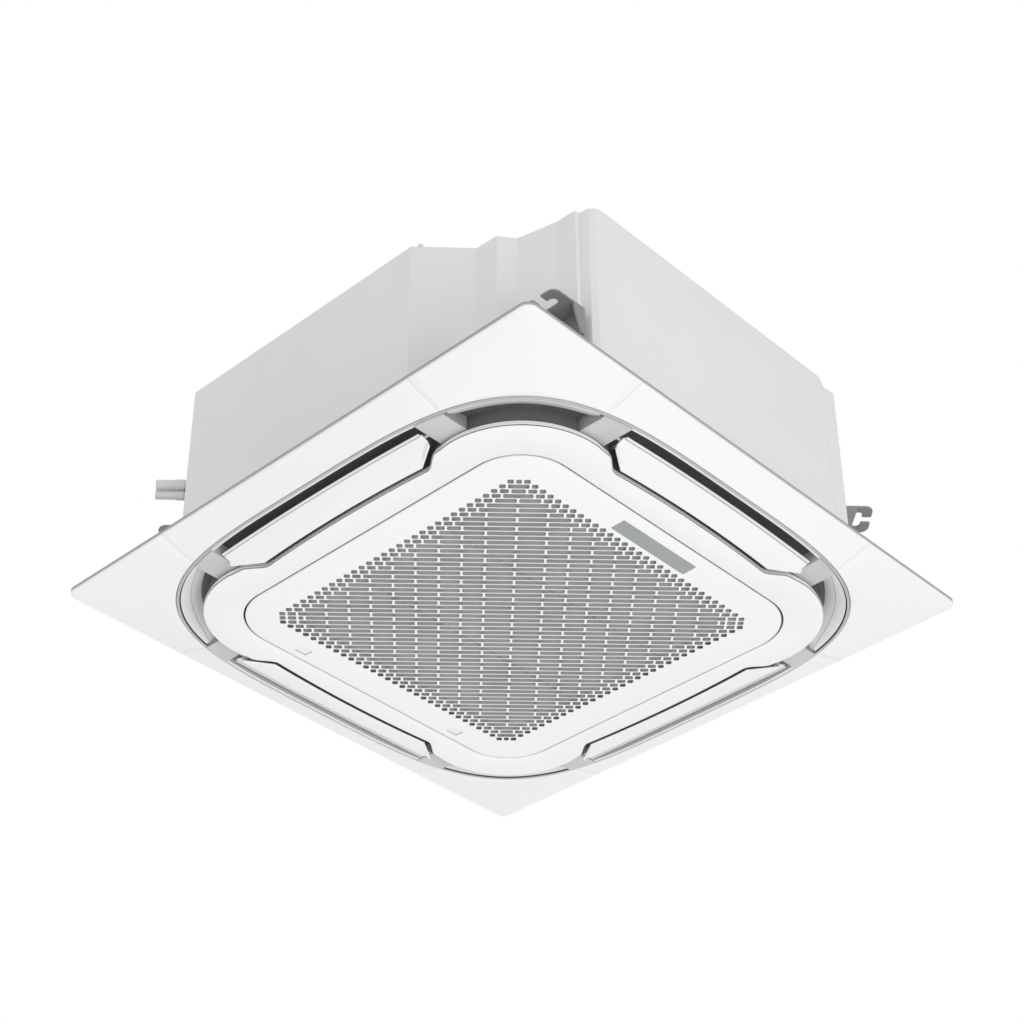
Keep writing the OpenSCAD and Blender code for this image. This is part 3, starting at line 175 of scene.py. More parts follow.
def spread(tree, fac, low, high, lo_in=0.3, hi_in=0.7):
    """Maps a noise value onto a range of numbers."""
    node = tree.nodes.new("ShaderNodeMapRange")
    node.inputs["From Min"].default_value = lo_in
    node.inputs["From Max"].default_value = hi_in
    node.inputs["To Min"].default_value = low
    node.inputs["To Max"].default_value = high
    tree.links.new(fac, node.inputs["Value"])
    return node.outputs["Result"]


def bump(tree, bsdf, height, strength, depth_mm):
    node = tree.nodes.new("ShaderNodeBump")
    node.inputs["Strength"].default_value = strength
    node.inputs["Distance"].default_value = depth_mm * MM
    tree.links.new(height, node.inputs["Height"])
    tree.links.new(node.outputs["Normal"], bsdf.inputs["Normal"])


def plastic(low, high, rough, grain_mm=0.6, depth_mm=0.02, soft=2.2):
    """Moulded plastic: soft colour drift, uneven gloss and a fine spark-eroded grain."""
    mat, tree, bsdf = blank_material()
    vec = object_coords(tree)
    dress(tree, bsdf, noise(tree, vec, soft, 2.0), [(0.3, low), (0.7, high)],
          spread(tree, noise(tree, vec, 18.0), rough - 0.04, rough + 0.05))
    bsdf.inputs["IOR"].default_value = 1.49
    bump(tree, bsdf, noise(tree, vec, 1000.0 / grain_mm, 2.0), 0.35, depth_mm)
    return mat


def sheet_steel(low, high, rough, metallic, spangle_mm):
    """Zinc coated sheet: crystal spangle, brushed gloss and faint rolling lines."""
    mat, tree, bsdf = blank_material()
    grey = tree.nodes.new("ShaderNodeRGBToBW")
    spangle = voronoi(tree, object_coords(tree), 1000.0 / spangle_mm)
    tree.links.new(spangle.outputs["Color"], grey.inputs["Color"])
    tone = grey.outputs["Val"]
    dress(tree, bsdf, tone, [(0.1, low), (0.9, high)],
          spread(tree, tone, rough - 0.05, rough + 0.08, 0.0, 1.0))
    bsdf.inputs["Metallic"].default_value = metallic
    bump(tree, bsdf, noise(tree, object_coords(tree, (1.0, 1.0, 30.0)), 40.0), 0.2, 0.05)
    return mat


def bead_foam(low, high):
    """Closed-cell foam: beads with rounded tops."""
    mat, tree, bsdf = blank_material()
    vec = object_coords(tree)
    bead = voronoi(tree, vec, 260.0).outputs["Distance"]
    dress(tree, bsdf, bead, [(0.1, high), (0.9, low)],
          spread(tree, noise(tree, vec, 60.0), 0.8, 0.95))
    bump(tree, bsdf, bead, 0.6, 0.4)
    return mat


def fin_aluminium():
    """A block of thin plates: fine slanting lines of light and dark."""
    mat, tree, bsdf = blank_material()
    vec = object_coords(tree)
    wave = tree.nodes.new("ShaderNodeTexWave")
    wave.bands_direction = "DIAGONAL"
    wave.inputs["Scale"].default_value = 110.0
    wave.inputs["Distortion"].default_value = 0.4
    tree.links.new(vec, wave.inputs["Vector"])
    fins = wave.outputs["Fac"]
    dress(tree, bsdf, fins, [(0.2, (96, 100, 104)), (0.8, (196, 200, 204))],
          spread(tree, noise(tree, vec, 35.0), 0.35, 0.5))
    bsdf.inputs["Metallic"].default_value = 0.8
    bump(tree, bsdf, fins, 0.5, 0.5)
    return mat


def bare_metal(low, high, rough, metallic=1.0):
    """Drawn or turned metal with fine scratches and slight tarnish."""
    mat, tree, bsdf = blank_material()
    vec = object_coords(tree)
    dress(tree, bsdf, noise(tree, vec, 22.0, 5.0, 0.6), [(0.3, low), (0.7, high)],
          spread(tree, noise(tree, vec, 90.0), rough - 0.06, rough + 0.1))
    bsdf.inputs["Metallic"].default_value = metallic
    bump(tree, bsdf, noise(tree, object_coords(tree, (1.0, 1.0, 12.0)), 160.0), 0.2, 0.03)
    return mat


def casing_steel():
    return plastic((226, 226, 227), (231, 231, 232), 0.5, 2.0, 0.03, 3.0)


def bracket_steel():
    return sheet_steel((132, 134, 135), (142, 144, 145), 0.42, 0.35, 2.5)


def bare_steel():
    return bare_metal((150, 150, 150), (178, 178, 178), 0.35)


def copper():
    return bare_metal((168, 112, 86), (196, 132, 100), 0.32)


def black_rubber():
    return plastic((40, 41, 42), (52, 53, 54), 0.75, 1.2, 0.05, 8.0)


def white_inner_plastic():
    return plastic((222, 224, 224), (230, 232, 232), 0.5)


def motor_grey():
    return plastic((96, 99, 102), (112, 115, 118), 0.45, 0.9, 0.03, 9.0)


def float_orange():
    return plastic((214, 112, 44), (226, 124, 52), 0.5)


def fan_plastic():
    return plastic((52, 54, 57), (64, 66, 69), 0.42, 0.8, 0.03, 6.0)


def board_green():
    return plastic((24, 92, 58), (34, 108, 70), 0.35, 2.0, 0.03, 30.0)


def terminal_black():
    return plastic((30, 30, 32), (40, 40, 42), 0.4, 0.7, 0.02, 12.0)


def panel_white():
    return plastic((240, 240, 240), (243, 243, 243), 0.42)


def frame_white():
    return plastic((240, 240, 240), (243, 243, 243), 0.38)


def grille_white():
    return plastic((241, 241, 241), (244, 244, 244), 0.38)


def latch_white():
    return plastic((237, 237, 237), (241, 241, 241), 0.4, 0.5, 0.02, 9.0)


def flap_white():
    return plastic((239, 239, 239), (242, 242, 242), 0.36)


def duct_grey():
    return plastic((193, 194, 194), (202, 203, 203), 0.55, 0.9, 0.06, 14.0)


def filter_grey():
    return plastic((144, 145, 147), (158, 159, 161), 0.6, 1.6, 0.05, 20.0)


# Painted shadow: a dark grey for the groove, the duct's inner wall and its top plate
def duct_shadow():
    return plastic((88, 88, 88), (98, 98, 98), 0.7, 0.9, 0.05, 14.0)


# A pale grey: the vanes' own colour, also taken by the side strips; on the corner guides it is painted
# light, a lighter copy of the duct's grey
def duct_pale_and_painted_light():
    return plastic((222, 223, 223), (230, 231, 231), 0.5, 0.6, 0.02, 6.0)


# Painted shade: a grey for the walls inside the grille's slots
def slot_painted_shade():
    return plastic((168, 169, 170), (178, 179, 180), 0.5, 0.6, 0.02, 6.0)


# Painted shade: a mid grey for the block ends, the frame's groove and a strip under each vane
def duct_painted_shade():
    return plastic((140, 141, 141), (150, 151, 151), 0.7, 0.9, 0.05, 14.0)


def panel_edge_painted_shade():
    """The panel's upright edge: painted shade, a grey that deepens towards the ceiling."""
    mat, tree, bsdf = blank_material()
    vec = object_coords(tree)
    parts = tree.nodes.new("ShaderNodeSeparateXYZ")
    tree.links.new(vec, parts.inputs["Vector"])
    height = spread(tree, parts.outputs["Z"], 0.0, 1.0, EDGE_Z * MM, CEILING_Z * MM)
    dress(tree, bsdf, height, [(0.1, (226, 226, 226)), (0.55, (168, 168, 168)),
                               (1.0, (150, 150, 150))],
          spread(tree, noise(tree, vec, 18.0), 0.46, 0.55))
    bump(tree, bsdf, noise(tree, vec, 1600.0, 2.0), 0.35, 0.02)
    return mat


def lip_grey():
    return plastic((178, 179, 179), (187, 188, 188), 0.5, 0.6, 0.02, 6.0)


def pipe_metal():
    return bare_metal((206, 207, 208), (220, 221, 222), 0.45, 0.35)


def badge_grey():
    return plastic((149, 153, 152), (156, 159, 158), 0.4, 0.5, 0.02, 6.0)


def foam():
    return bead_foam((46, 47, 48), (58, 59, 60))


def pan_foam():
    return bead_foam((214, 216, 218), (234, 235, 236))


MAKERS = (casing_steel, bracket_steel, bare_steel, copper, black_rubber, motor_grey,
          white_inner_plastic, float_orange, fan_plastic, board_green, terminal_black,
          panel_white, frame_white, grille_white, latch_white, flap_white, duct_grey,
          filter_grey, badge_grey, fin_aluminium, duct_shadow, duct_painted_shade, panel_edge_painted_shade,
          duct_pale_and_painted_light, lip_grey, slot_painted_shade, pipe_metal, foam, pan_foam)
MATERIALS = {make.__name__: make() for make in MAKERS}
for slot_name, surface in MATERIALS.items():
    surface.name = slot_name


def dress_cad_nodes():
    """Gives every node its slot's material; the casing's screws are painted with the casing."""
    for name, obj in NODES.items():
        mat = MATERIALS["casing_steel" if name == "casing_screws" else SLOT_OF[name]]
        if not obj.material_slots:
            obj.data.materials.append(mat)
        for slot in obj.material_slots:
            slot.material = mat


# Camera, light and floor

def add_object(name, data):
    obj = bpy.data.objects.new(name, data)
    bpy.context.scene.collection.objects.link(obj)
    return obj


def make_camera():
    """The photograph's camera, solved on the panel's square and the grille's border."""
    right = Vector((0.72633, 0.68733, -0.00404)).normalized()
    ahead = Vector((-0.5502, 0.5849, 0.5959)).normalized()
    up = right.cross(ahead).normalized()
    right = ahead.cross(up).normalized()
    data = bpy.data.cameras.new("camera")
    data.sensor_width, data.lens = 36.0, 80.91
    data.clip_start, data.clip_end = 0.05, 60.0
    cam = add_object("camera", data)
    place = Matrix((right, up, -ahead)).transposed().to_4x4()
    place.translation = Vector((1.9608, -2.0878, -2.0920))
    cam.matrix_world = place
    bpy.context.scene.camera = cam


def area_lamp(name, place, aim, size, watts):
    data = bpy.data.lights.new(name, "AREA")
    data.shape, data.size, data.energy = "SQUARE", size, watts
    lamp = add_object(name, data)
    lamp.location = place
    lamp.rotation_mode = "QUATERNION"
    lamp.rotation_quaternion = (Vector(aim) - Vector(place)).to_track_quat("-Z", "Y")


def make_world(strength):
    """An even pale sky for the light, and plain white where the camera or a gloss sees it."""
    world = bpy.data.worlds.new("studio")
    world.use_nodes = True
    bpy.context.scene.world = world
    tree = world.node_tree
    tree.nodes.clear()
    path = tree.nodes.new("ShaderNodeLightPath")
    seen = path.outputs["Is Camera Ray"]
    for ray in ("Is Glossy Ray", "Is Transmission Ray"):
        either = tree.nodes.new("ShaderNodeMath")
        either.operation = "MAXIMUM"
        tree.links.new(seen, either.inputs[0])
        tree.links.new(path.outputs[ray], either.inputs[1])
        seen = either.outputs[0]
    mix = tree.nodes.new("ShaderNodeMixShader")
    tree.links.new(seen, mix.inputs["Fac"])
    for slot, power in ((1, strength), (2, 1.0)):
        light = tree.nodes.new("ShaderNodeBackground")
        light.inputs["Color"].default_value = (1.0, 1.0, 1.0, 1.0)
        light.inputs["Strength"].default_value = power
        tree.links.new(light.outputs[0], mix.inputs[slot])
    out = tree.nodes.new("ShaderNodeOutputWorld")
    tree.links.new(mix.outputs[0], out.inputs["Surface"])


def make_floor():
    """A pale studio floor, well under the raised unit."""
    bpy.ops.mesh.primitive_plane_add(size=14.0, location=(0.0, 0.0, -4.2))
    floor = bpy.context.object
    floor.name = "studio_floor"
    mat, tree, bsdf = blank_material()
    mat.name = "studio_floor"
    vec = object_coords(tree)
    tone = ramp(tree, noise(tree, vec, 0.6), [(0.3, (240, 240, 240)), (0.7, (246, 246, 246))])
    tree.links.new(tone, bsdf.inputs["Base Color"])
    bsdf.inputs["Roughness"].default_value = 0.9
    floor.data.materials.append(mat)


# Small helpers for places

def smooth(u):
    u = min(max(u, 0.0), 1.0)
    return u * u * (3.0 - 2.0 * u)


def turned(k, point):
    """A point turned by k quarter turns about the unit's axis."""
    x, y = point[0], point[1]
    for _ in range(k % 4):
        x, y = -y, x
    return (x, y, *point[2:])


# Mesh helpers

def piece(name, verts, faces, body, slots, nodes=(), marks=None, crease=35.0):
    """Makes a mesh in metres, rides it on a body and hides the nodes it stands for."""
    mesh = bpy.data.meshes.new(name)
    mesh.from_pydata([(x * MM, y * MM, z * MM) for x, y, z in verts], [], faces)
    for slot in slots:
        mesh.materials.append(MATERIALS[slot])
    if marks:
        mesh.polygons.foreach_set("material_index", marks)
    work = bmesh.new()
    work.from_mesh(mesh)
    bmesh.ops.recalc_face_normals(work, faces=work.faces)
    work.to_mesh(mesh)
    work.free()
    mesh.shade_smooth()
    mesh.set_sharp_from_angle(angle=math.radians(crease))
    obj = add_object(name, mesh)
    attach(obj, body)
    if nodes:
        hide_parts(*nodes)
    return obj


def loft(verts, faces, sections, loop=True, wrap=False, caps=True):
    """Joins sections in a row; loop closes each section, wrap joins the last to the first."""
    n, base, m = len(sections[0]), len(verts), len(sections)
    for section in sections:
        verts.extend(section)
    for i in range(m if wrap else m - 1):
        a, b = base + i * n, base + ((i + 1) % m) * n
        for j in range(n if loop else n - 1):
            k = (j + 1) % n
            faces.append((a + j, a + k, b + k, b + j))
    if caps and loop and not wrap:
        faces.append(tuple(base + j for j in reversed(range(n))))
        faces.append(tuple(base + (m - 1) * n + j for j in range(n)))


def rounded_r(theta, half, r):
    """Distance from the middle to a rounded square's outline in a direction."""
    c, s = abs(math.cos(theta)), abs(math.sin(theta))
    if c < s:
        c, s = s, c
    if half * s / c <= half - r:
        return half / c
    along = (half - r) * (c + s)
    return along + math.sqrt(max(along * along - 2.0 * (half - r) ** 2 + r * r, 0.0))


def ring_r(theta, a):
    """Distance from the middle to the outlet ring's rounded square outline."""
    total = abs(math.cos(theta)) ** RING_POWER + abs(math.sin(theta)) ** RING_POWER
    return a / total ** (1.0 / RING_POWER)


def ring_d(s, a):
    """How far out the ring's outline lies at a place along a side."""
    return a * (1.0 - (abs(s) / a) ** RING_POWER) ** (1.0 / RING_POWER)


def polar(theta, r, z):
    return (r * math.cos(theta), r * math.sin(theta), z)


def ring_angles(count):
    return [2.0 * math.pi * i / count for i in range(count)]


# Panel: four sides, four corner covers

def panel_z(x, y):
    """Height of the panel's face, falling from its edge to the ring."""
    theta, r = math.atan2(y, x), math.hypot(x, y)
    near, far = ring_r(theta, PANEL_IN), rounded_r(theta, PANEL_HALF, PANEL_R)
    t = min(max((r - near) / (far - near), 0.0), 1.0)
    return RING_Z + (EDGE_Z - RING_Z) * (t + 0.12 * t * (1.0 - t))


def panel_section(inner, outer, normal, dip):
    """A closed cross-section from the ring out to the panel's upright edge."""
    rows, turn = 10, 5
    ox, oy = outer[0] - normal[0] * EDGE_ROUND, outer[1] - normal[1] * EDGE_ROUND
    pts = [(inner[0], inner[1], RING_Z + 1.2)]
    for i in range(rows + 1):
        t = i / rows if i else 0.02
        x, y = inner[0] + (ox - inner[0]) * t, inner[1] + (oy - inner[1]) * t
        pts.append((x, y, panel_z(x, y) + dip))
    z = pts[-1][2] + EDGE_ROUND
    for i in range(1, turn + 1):
        a = 0.5 * math.pi * i / turn
        out = EDGE_ROUND * math.sin(a)
        pts.append((ox + normal[0] * out, oy + normal[1] * out, z - EDGE_ROUND * math.cos(a)))
    pts.append((outer[0], outer[1], CEILING_Z))
    bx, by = outer[0] - normal[0] * PANEL_WALL, outer[1] - normal[1] * PANEL_WALL
    pts.append((bx, by, CEILING_Z))
    for i in range(rows, -1, -1):
        t = i / rows
        x, y = inner[0] + (bx - inner[0]) * t, inner[1] + (by - inner[1]) * t
        pts.append((x, y, panel_z(x, y) + PANEL_WALL))
    return pts


def side_sections(k):
    """Cross-sections of the panel's main frame along one side, dipped at both seams."""
    half = SEAM_AT - SEAM_GAP / 2
    places = [-half, -half + 0.5] + [half * i / 30 for i in range(-29, 30)] + [half - 0.5, half]
    out = []
    for i, s in enumerate(places):
        dip = SEAM_DIP if i in (0, len(places) - 1) else 0.0
        inner = (ring_d(s, PANEL_IN), s)
        section = panel_section(inner, (PANEL_HALF, s), (1.0, 0.0), dip)
        out.append([turned(k, p) for p in section])
    return out


def corner_outline():
    """Points and normals of a corner cover's outer outline, from seam to seam."""
    start, end = SEAM_AT + SEAM_GAP / 2, PANEL_HALF - PANEL_R
    path = [((PANEL_HALF, start), (1.0, 0.0)), ((PANEL_HALF, start + 0.5), (1.0, 0.0))]
    for i in range(1, 13):
        path.append(((PANEL_HALF, start + (end - start) * i / 12), (1.0, 0.0)))
    for i in range(1, 12):
        a = 0.5 * math.pi * i / 12
        n = (math.cos(a), math.sin(a))
        path.append(((end + PANEL_R * n[0], end + PANEL_R * n[1]), n))
    mirror = [((p[1], p[0]), (n[1], n[0])) for p, n in reversed(path[:14])]
    return path + mirror


def corner_sections(k):
    """Cross-sections of a corner cover, shared out evenly between its outer and inner border."""
    path = corner_outline()
    lengths = [0.0]
    for (p, _), (q, _) in zip(path, path[1:]):
        lengths.append(lengths[-1] + math.dist(p, q))
    start = SEAM_AT + SEAM_GAP / 2
    a0 = math.atan2(start, ring_d(start, PANEL_IN))
    out = []
    for i, (outer, normal) in enumerate(path):
        share = lengths[i] / lengths[-1]
        theta = a0 + (0.5 * math.pi - 2.0 * a0) * share
        r = ring_r(theta, PANEL_IN)
        inner = (r * math.cos(theta), r * math.sin(theta))
        if i == 1:
            inner = (ring_d(start + 0.5, PANEL_IN), start + 0.5)
        if i == len(path) - 2:
            inner = (start + 0.5, ring_d(start + 0.5, PANEL_IN))
        dip = SEAM_DIP if i in (0, len(path) - 1) else 0.0
        out.append([turned(k, p) for p in panel_section(inner, outer, normal, dip)])
    return out


def corner_land(verts, faces, k):
    """The flat land of the main frame above a corner cover."""
    near, far, low = SEAM_AT - 3.0, PANEL_HALF - 6.0, CEILING_Z - 2.5
    a0 = math.atan2(near, ring_d(near, PANEL_IN))
    path = [(far, near), (far, far - 12.0), (far - 3.5, far - 3.5), (far - 12.0, far), (near, far)]
    for i in range(25):
        theta = a0 + (0.5 * math.pi - 2.0 * a0) * (1.0 - i / 24)
        r = ring_r(theta, PANEL_IN)
        path.append((r * math.cos(theta), r * math.sin(theta)))
    loft(verts, faces, [[turned(k, (x, y, z)) for x, y in path] for z in (low, CEILING_Z)])


def edge_marks(verts, faces):
    """Picks the faces of the panel's upright edge, which carry the edge's painted shade."""
    out, slack = [], 0.4
    for face in faces:
        x, y, z = (sum(verts[i][a] for i in face) / len(face) for a in range(3))
        centre = PANEL_HALF - PANEL_R
        straight = max(abs(x), abs(y)) > PANEL_HALF - slack
        at_corner = min(abs(x), abs(y)) > centre and (
            math.hypot(abs(x) - centre, abs(y) - centre) > PANEL_R - slack)
        out.append(1 if (straight or at_corner) and z > EDGE_Z + 0.2 else 0)
    return out


def make_panel():
    verts, faces = [], []
    for k in range(4):
        loft(verts, faces, side_sections(k))
        corner_land(verts, faces, k)
    # The upright edge's faces take the grey of painted shade
    piece("panel_frame_skin", verts, faces, "unit", ["panel_white", "panel_edge_painted_shade"], ["panel_frame"],
          edge_marks(verts, faces))
    for k, number in enumerate((3, 4, 1, 2)):
        verts, faces = [], []
        loft(verts, faces, corner_sections(k))
        piece(f"corner_cover_skin_{number}", verts, faces, "unit", ["panel_white", "panel_edge_painted_shade"],
              [f"corner_cover_{number}"], edge_marks(verts, faces))


# Outlet ring: lip, grooves, bridge blocks, corner guides, duct walls

def frame_outline():
    """The inner frame's outline: each point with its outward normal and its share of a corner."""
    quarter = []
    for i in range(25):
        s = RECESS_HALF * i / 24
        quarter.append((RECESS_D + RECESS_BOW * (1.0 - (s / RECESS_HALF) ** 2), s))
    for i in range(1, 13):
        u = i / 12
        quarter.append((RECESS_D + (BULGE_D - RECESS_D) * smooth(u),
                        RECESS_HALF + (BULGE_AT - RECESS_HALF) * u))
    quarter += [(BULGE_D, s) for s in (208.0, 216.0, 224.0)]
    for i in range(1, 17):
        a = 0.25 * math.pi * i / 16
        quarter.append((BULGE_C + BULGE_R * math.cos(a), BULGE_C + BULGE_R * math.sin(a)))
    half = quarter + [(y, x) for x, y in reversed(quarter[1:-1])]
    pts = []
    for k in range(4):
        pts += [turned(k, p) for p in half]
    out = []
    for i, p in enumerate(pts):
        a, b = pts[i - 1], pts[(i + 1) % len(pts)]
        tx, ty = b[0] - a[0], b[1] - a[1]
        size = math.hypot(tx, ty)
        grow = smooth((min(abs(p[0]), abs(p[1])) - BULGE_AT) / (BULGE_C - BULGE_AT))
        out.append((p, (ty / size, -tx / size), grow))
    return out


OUTLINE = frame_outline()


def outline_loop(offset, z, grow=0.0):
    """The outline moved out by offset, and by grow more at the corner bulges."""
    return [(p[0] + n[0] * (offset + grow * g), p[1] + n[1] * (offset + grow * g), z)
            for p, n, g in OUTLINE]


def ring_sweep(profile, count, first=0.0, last=None):
    """Sections of a profile of (a, z) carried round the ring, or along a part of it."""
    if last is None:
        return [[polar(t, ring_r(t, a), z) for a, z in profile] for t in ring_angles(count)]
    steps = [first + (last - first) * i / count for i in range(count + 1)]
    return [[polar(t, ring_r(t, a), z) for a, z in profile] for t in steps]


def make_ring_lip(verts, faces):
    """The lip all round, and its wall up to the casing."""
    profile = [(RING_OUT, DUCT_TOP_Z), (RING_OUT, LIP_Z + 0.9), (RING_OUT - 0.3, LIP_Z + 0.3),
               (RING_OUT - 1.0, LIP_Z), (GROOVE_OUT + 0.7, LIP_Z), (GROOVE_OUT + 0.2, LIP_Z + 0.2),
               (GROOVE_OUT, LIP_Z + 0.8), (GROOVE_OUT, DUCT_TOP_Z)]
    loft(verts, faces, ring_sweep(profile, 480), wrap=True)


def make_side_walls(verts, faces):
    """The wider lip beside each flap, from block to block."""
    a = math.atan2(BLOCK_S0, ring_d(BLOCK_S0, RING_IN))
    profile = [(GROOVE_OUT + 0.1, DUCT_TOP_Z), (GROOVE_OUT + 0.1, LIP_Z + 0.05),
               (RING_IN + 0.8, LIP_Z + 0.05), (RING_IN + 0.2, LIP_Z + 0.4),
               (RING_IN, LIP_Z + 1.2), (RING_IN - 1.5, DUCT_TOP_Z)]
    for k in range(4):
        mid = 0.5 * math.pi * k
        loft(verts, faces, ring_sweep(profile, 60, mid - a, mid + a))


def make_blocks(verts, faces):
    """The bridge blocks between the frame and the ring, with softened edges."""
    for k in range(4):
        for side in (-1, 1):
            s0, s1 = side * BLOCK_S0, side * BLOCK_S1
            out = []
            for cut, z in ((0.0, PLATE_Z), (0.0, BLOCK_Z + 1.0), (0.3, BLOCK_Z + 0.3),
                           (1.0, BLOCK_Z)):
                a, b = s0 + side * cut, s1 - side * cut
                path = [(BLOCK_IN, a), (BLOCK_IN, b)]
                for i in range(9):
                    s = b + (a - b) * i / 8
                    path.append((ring_d(s, GROOVE_OUT - 0.02 - 0.4 * cut), s))
                out.append([turned(k, (x, y, z)) for x, y in path])
            loft(verts, faces, out)


def is_block_side(corners):
    """True for the upright end of a block that faces a corner outlet; these ends are painted in the mid
    grey of painted shade.
    """
    for axis in (0, 1):
        if all(abs(abs(p[axis]) - BLOCK_S1) < 0.01 for p in corners):
            return True
    return False


def guide_arc(count):
    """Crease line of a corner guide, from block to block: ring angle, reach and height."""
    a0 = math.atan2(BLOCK_S1, BLOCK_FAR)
    out = []
    for i in range(count + 1):
        t = i / count
        theta = a0 + (0.5 * math.pi - 2.0 * a0) * t
        bow = abs(2.0 * t - 1.0)
        out.append((theta, CREASE_D + CREASE_OUT * bow ** 2.6, CREASE_Z - CREASE_DROP * bow ** 2.0))
    return out


def make_corner_guides(verts, faces):
    """The curved guides in the corner outlets, set off from the lip by a groove; their faces are
    painted light in the pale grey.
    """
    for k in range(4):
        sections = []
        for theta, crease, top in guide_arc(GUIDE_STEPS):
            t = theta + 0.5 * math.pi * k
            profile = [(GROOVE_IN, GROOVE_TOP), (GROOVE_IN, GUIDE_Z + 0.3), (GROOVE_IN - 0.5, GUIDE_Z),
                       (0.5 * (GROOVE_IN + crease), 0.55 * GUIDE_Z + 0.45 * top - 0.3),
                       (crease + 0.6, top - 0.2), (crease - 0.5, top + 0.5),
                       (crease - 12.0, top + 8.4), (crease - 12.6, top + 8.9), (crease - 12.8, PLATE_Z)]
            sections.append([polar(t, ring_r(t, a), z) for a, z in profile])
        loft(verts, faces, sections, loop=False)


def make_painted_shadow_parts():
    """The groove's floor and walls, the duct's inner wall and its top plate with the air slots, all in
    the dark grey of painted shadow.
    """
    verts, faces = [], []
    a0 = math.atan2(BLOCK_S1, BLOCK_FAR) - 0.004
    profile = [(GROOVE_IN, GROOVE_TOP), (GROOVE_OUT - 0.05, GROOVE_TOP),
               (GROOVE_OUT - 0.05, LIP_Z + 0.9)]
    for k in range(4):
        mid = 0.5 * math.pi * k
        loft(verts, faces, ring_sweep(profile, 40, mid + a0, mid + 0.5 * math.pi - a0), loop=False)
    front, back, low = -2.6, -6.0, -163.6
    loops = [outline_loop(front, PLATE_Z, 1.0), outline_loop(front, low, 1.0),
             outline_loop(back, low, 1.0), outline_loop(back, PLATE_Z)]
    loft(verts, faces, loops, caps=False)
    plate(verts, faces)
    piece("duct_inner_wall", verts, faces, "unit", ["duct_shadow"])


def loop_edges(loops):
    """Points of several loops in one list, the edges that close each, and where each starts."""
    pts, edges, starts = [], [], []
    for loop in loops:
        starts.append(len(pts))
        ids = list(range(len(pts), len(pts) + len(loop)))
        pts += [Vector(p) for p in loop]
        edges += list(zip(ids, ids[1:] + ids[:1]))
    return pts, edges, starts


def inside(x, y, loop):
    """True where a point lies within a loop, by counting the edges a ray crosses."""
    hit = False
    j = len(loop) - 1
    for i in range(len(loop)):
        xi, yi = loop[i]
        xj, yj = loop[j]
        if (yi > y) != (yj > y) and x < (xj - xi) * (y - yi) / (yj - yi) + xi:
            hit = not hit
        j = i
    return hit


def plate(verts, faces):
    """The duct's top plate, seen up through the outlets, with an air slot on each side."""
    outer = [polar(t, ring_r(t, GROOVE_OUT + 0.2), 0.0)[:2] for t in ring_angles(160)]
    hole = [p[:2] for p in outline_loop(-6.0, 0.0)]
    slots = []
    for k in range(4):
        box = [(AIR_IN, -AIR_HALF), (AIR_OUT, -AIR_HALF), (AIR_OUT, AIR_HALF), (AIR_IN, AIR_HALF)]
        slots.append([turned(k, p) for p in box])
    points, edges, _ = loop_edges([outer, hole] + slots)
    made = delaunay_2d_cdt(points, edges, [], 0, 1e-7)
    pts, tris = made[0], made[2]
    base = len(verts)
    verts += [(p.x, p.y, PLATE_Z) for p in pts]
    for tri in tris:
        cx, cy = sum(pts[i].x for i in tri) / 3, sum(pts[i].y for i in tri) / 3
        if not inside(cx, cy, outer) or inside(cx, cy, hole):
            continue
        if any(inside(cx, cy, s) for s in slots):
            continue
        faces.append(tuple(base + i for i in tri))


def make_outlet():
    """Lip, blocks and guides in one mesh with a slot of paint each, then the strips and the parts in
    painted shadow.
    """
    plain, block_end, guide, lip = range(4)
    verts, faces = [], []
    make_ring_lip(verts, faces)
    marks = [lip] * len(faces)
    make_blocks(verts, faces)
    # The blocks' ends towards the corner outlets take the mid grey of painted shade
    for face in faces[len(marks):]:
        marks.append(block_end if is_block_side([verts[i] for i in face]) else plain)
    # The guides take the pale grey as painted light; their crease strip takes the lip's grey
    make_corner_guides(verts, faces)
    first, per_corner = len(marks), (len(faces) - len(marks)) // 4
    for i in range(len(faces) - first):
        at = i % per_corner
        strip = at % GUIDE_STRIPS if at < GUIDE_STEPS * GUIDE_STRIPS else 0
        marks.append(lip if strip == CREASE_STRIP else guide)
    piece("outlet_ring", verts, faces, "unit", ["duct_grey", "duct_painted_shade", "duct_pale_and_painted_light", "lip_grey"],
          ["outlet_duct"], marks)
    verts, faces = [], []
    make_side_walls(verts, faces)
    piece("outlet_side_strips", verts, faces, "unit", ["duct_pale_and_painted_light"])
    make_painted_shadow_parts()


# Inner frame

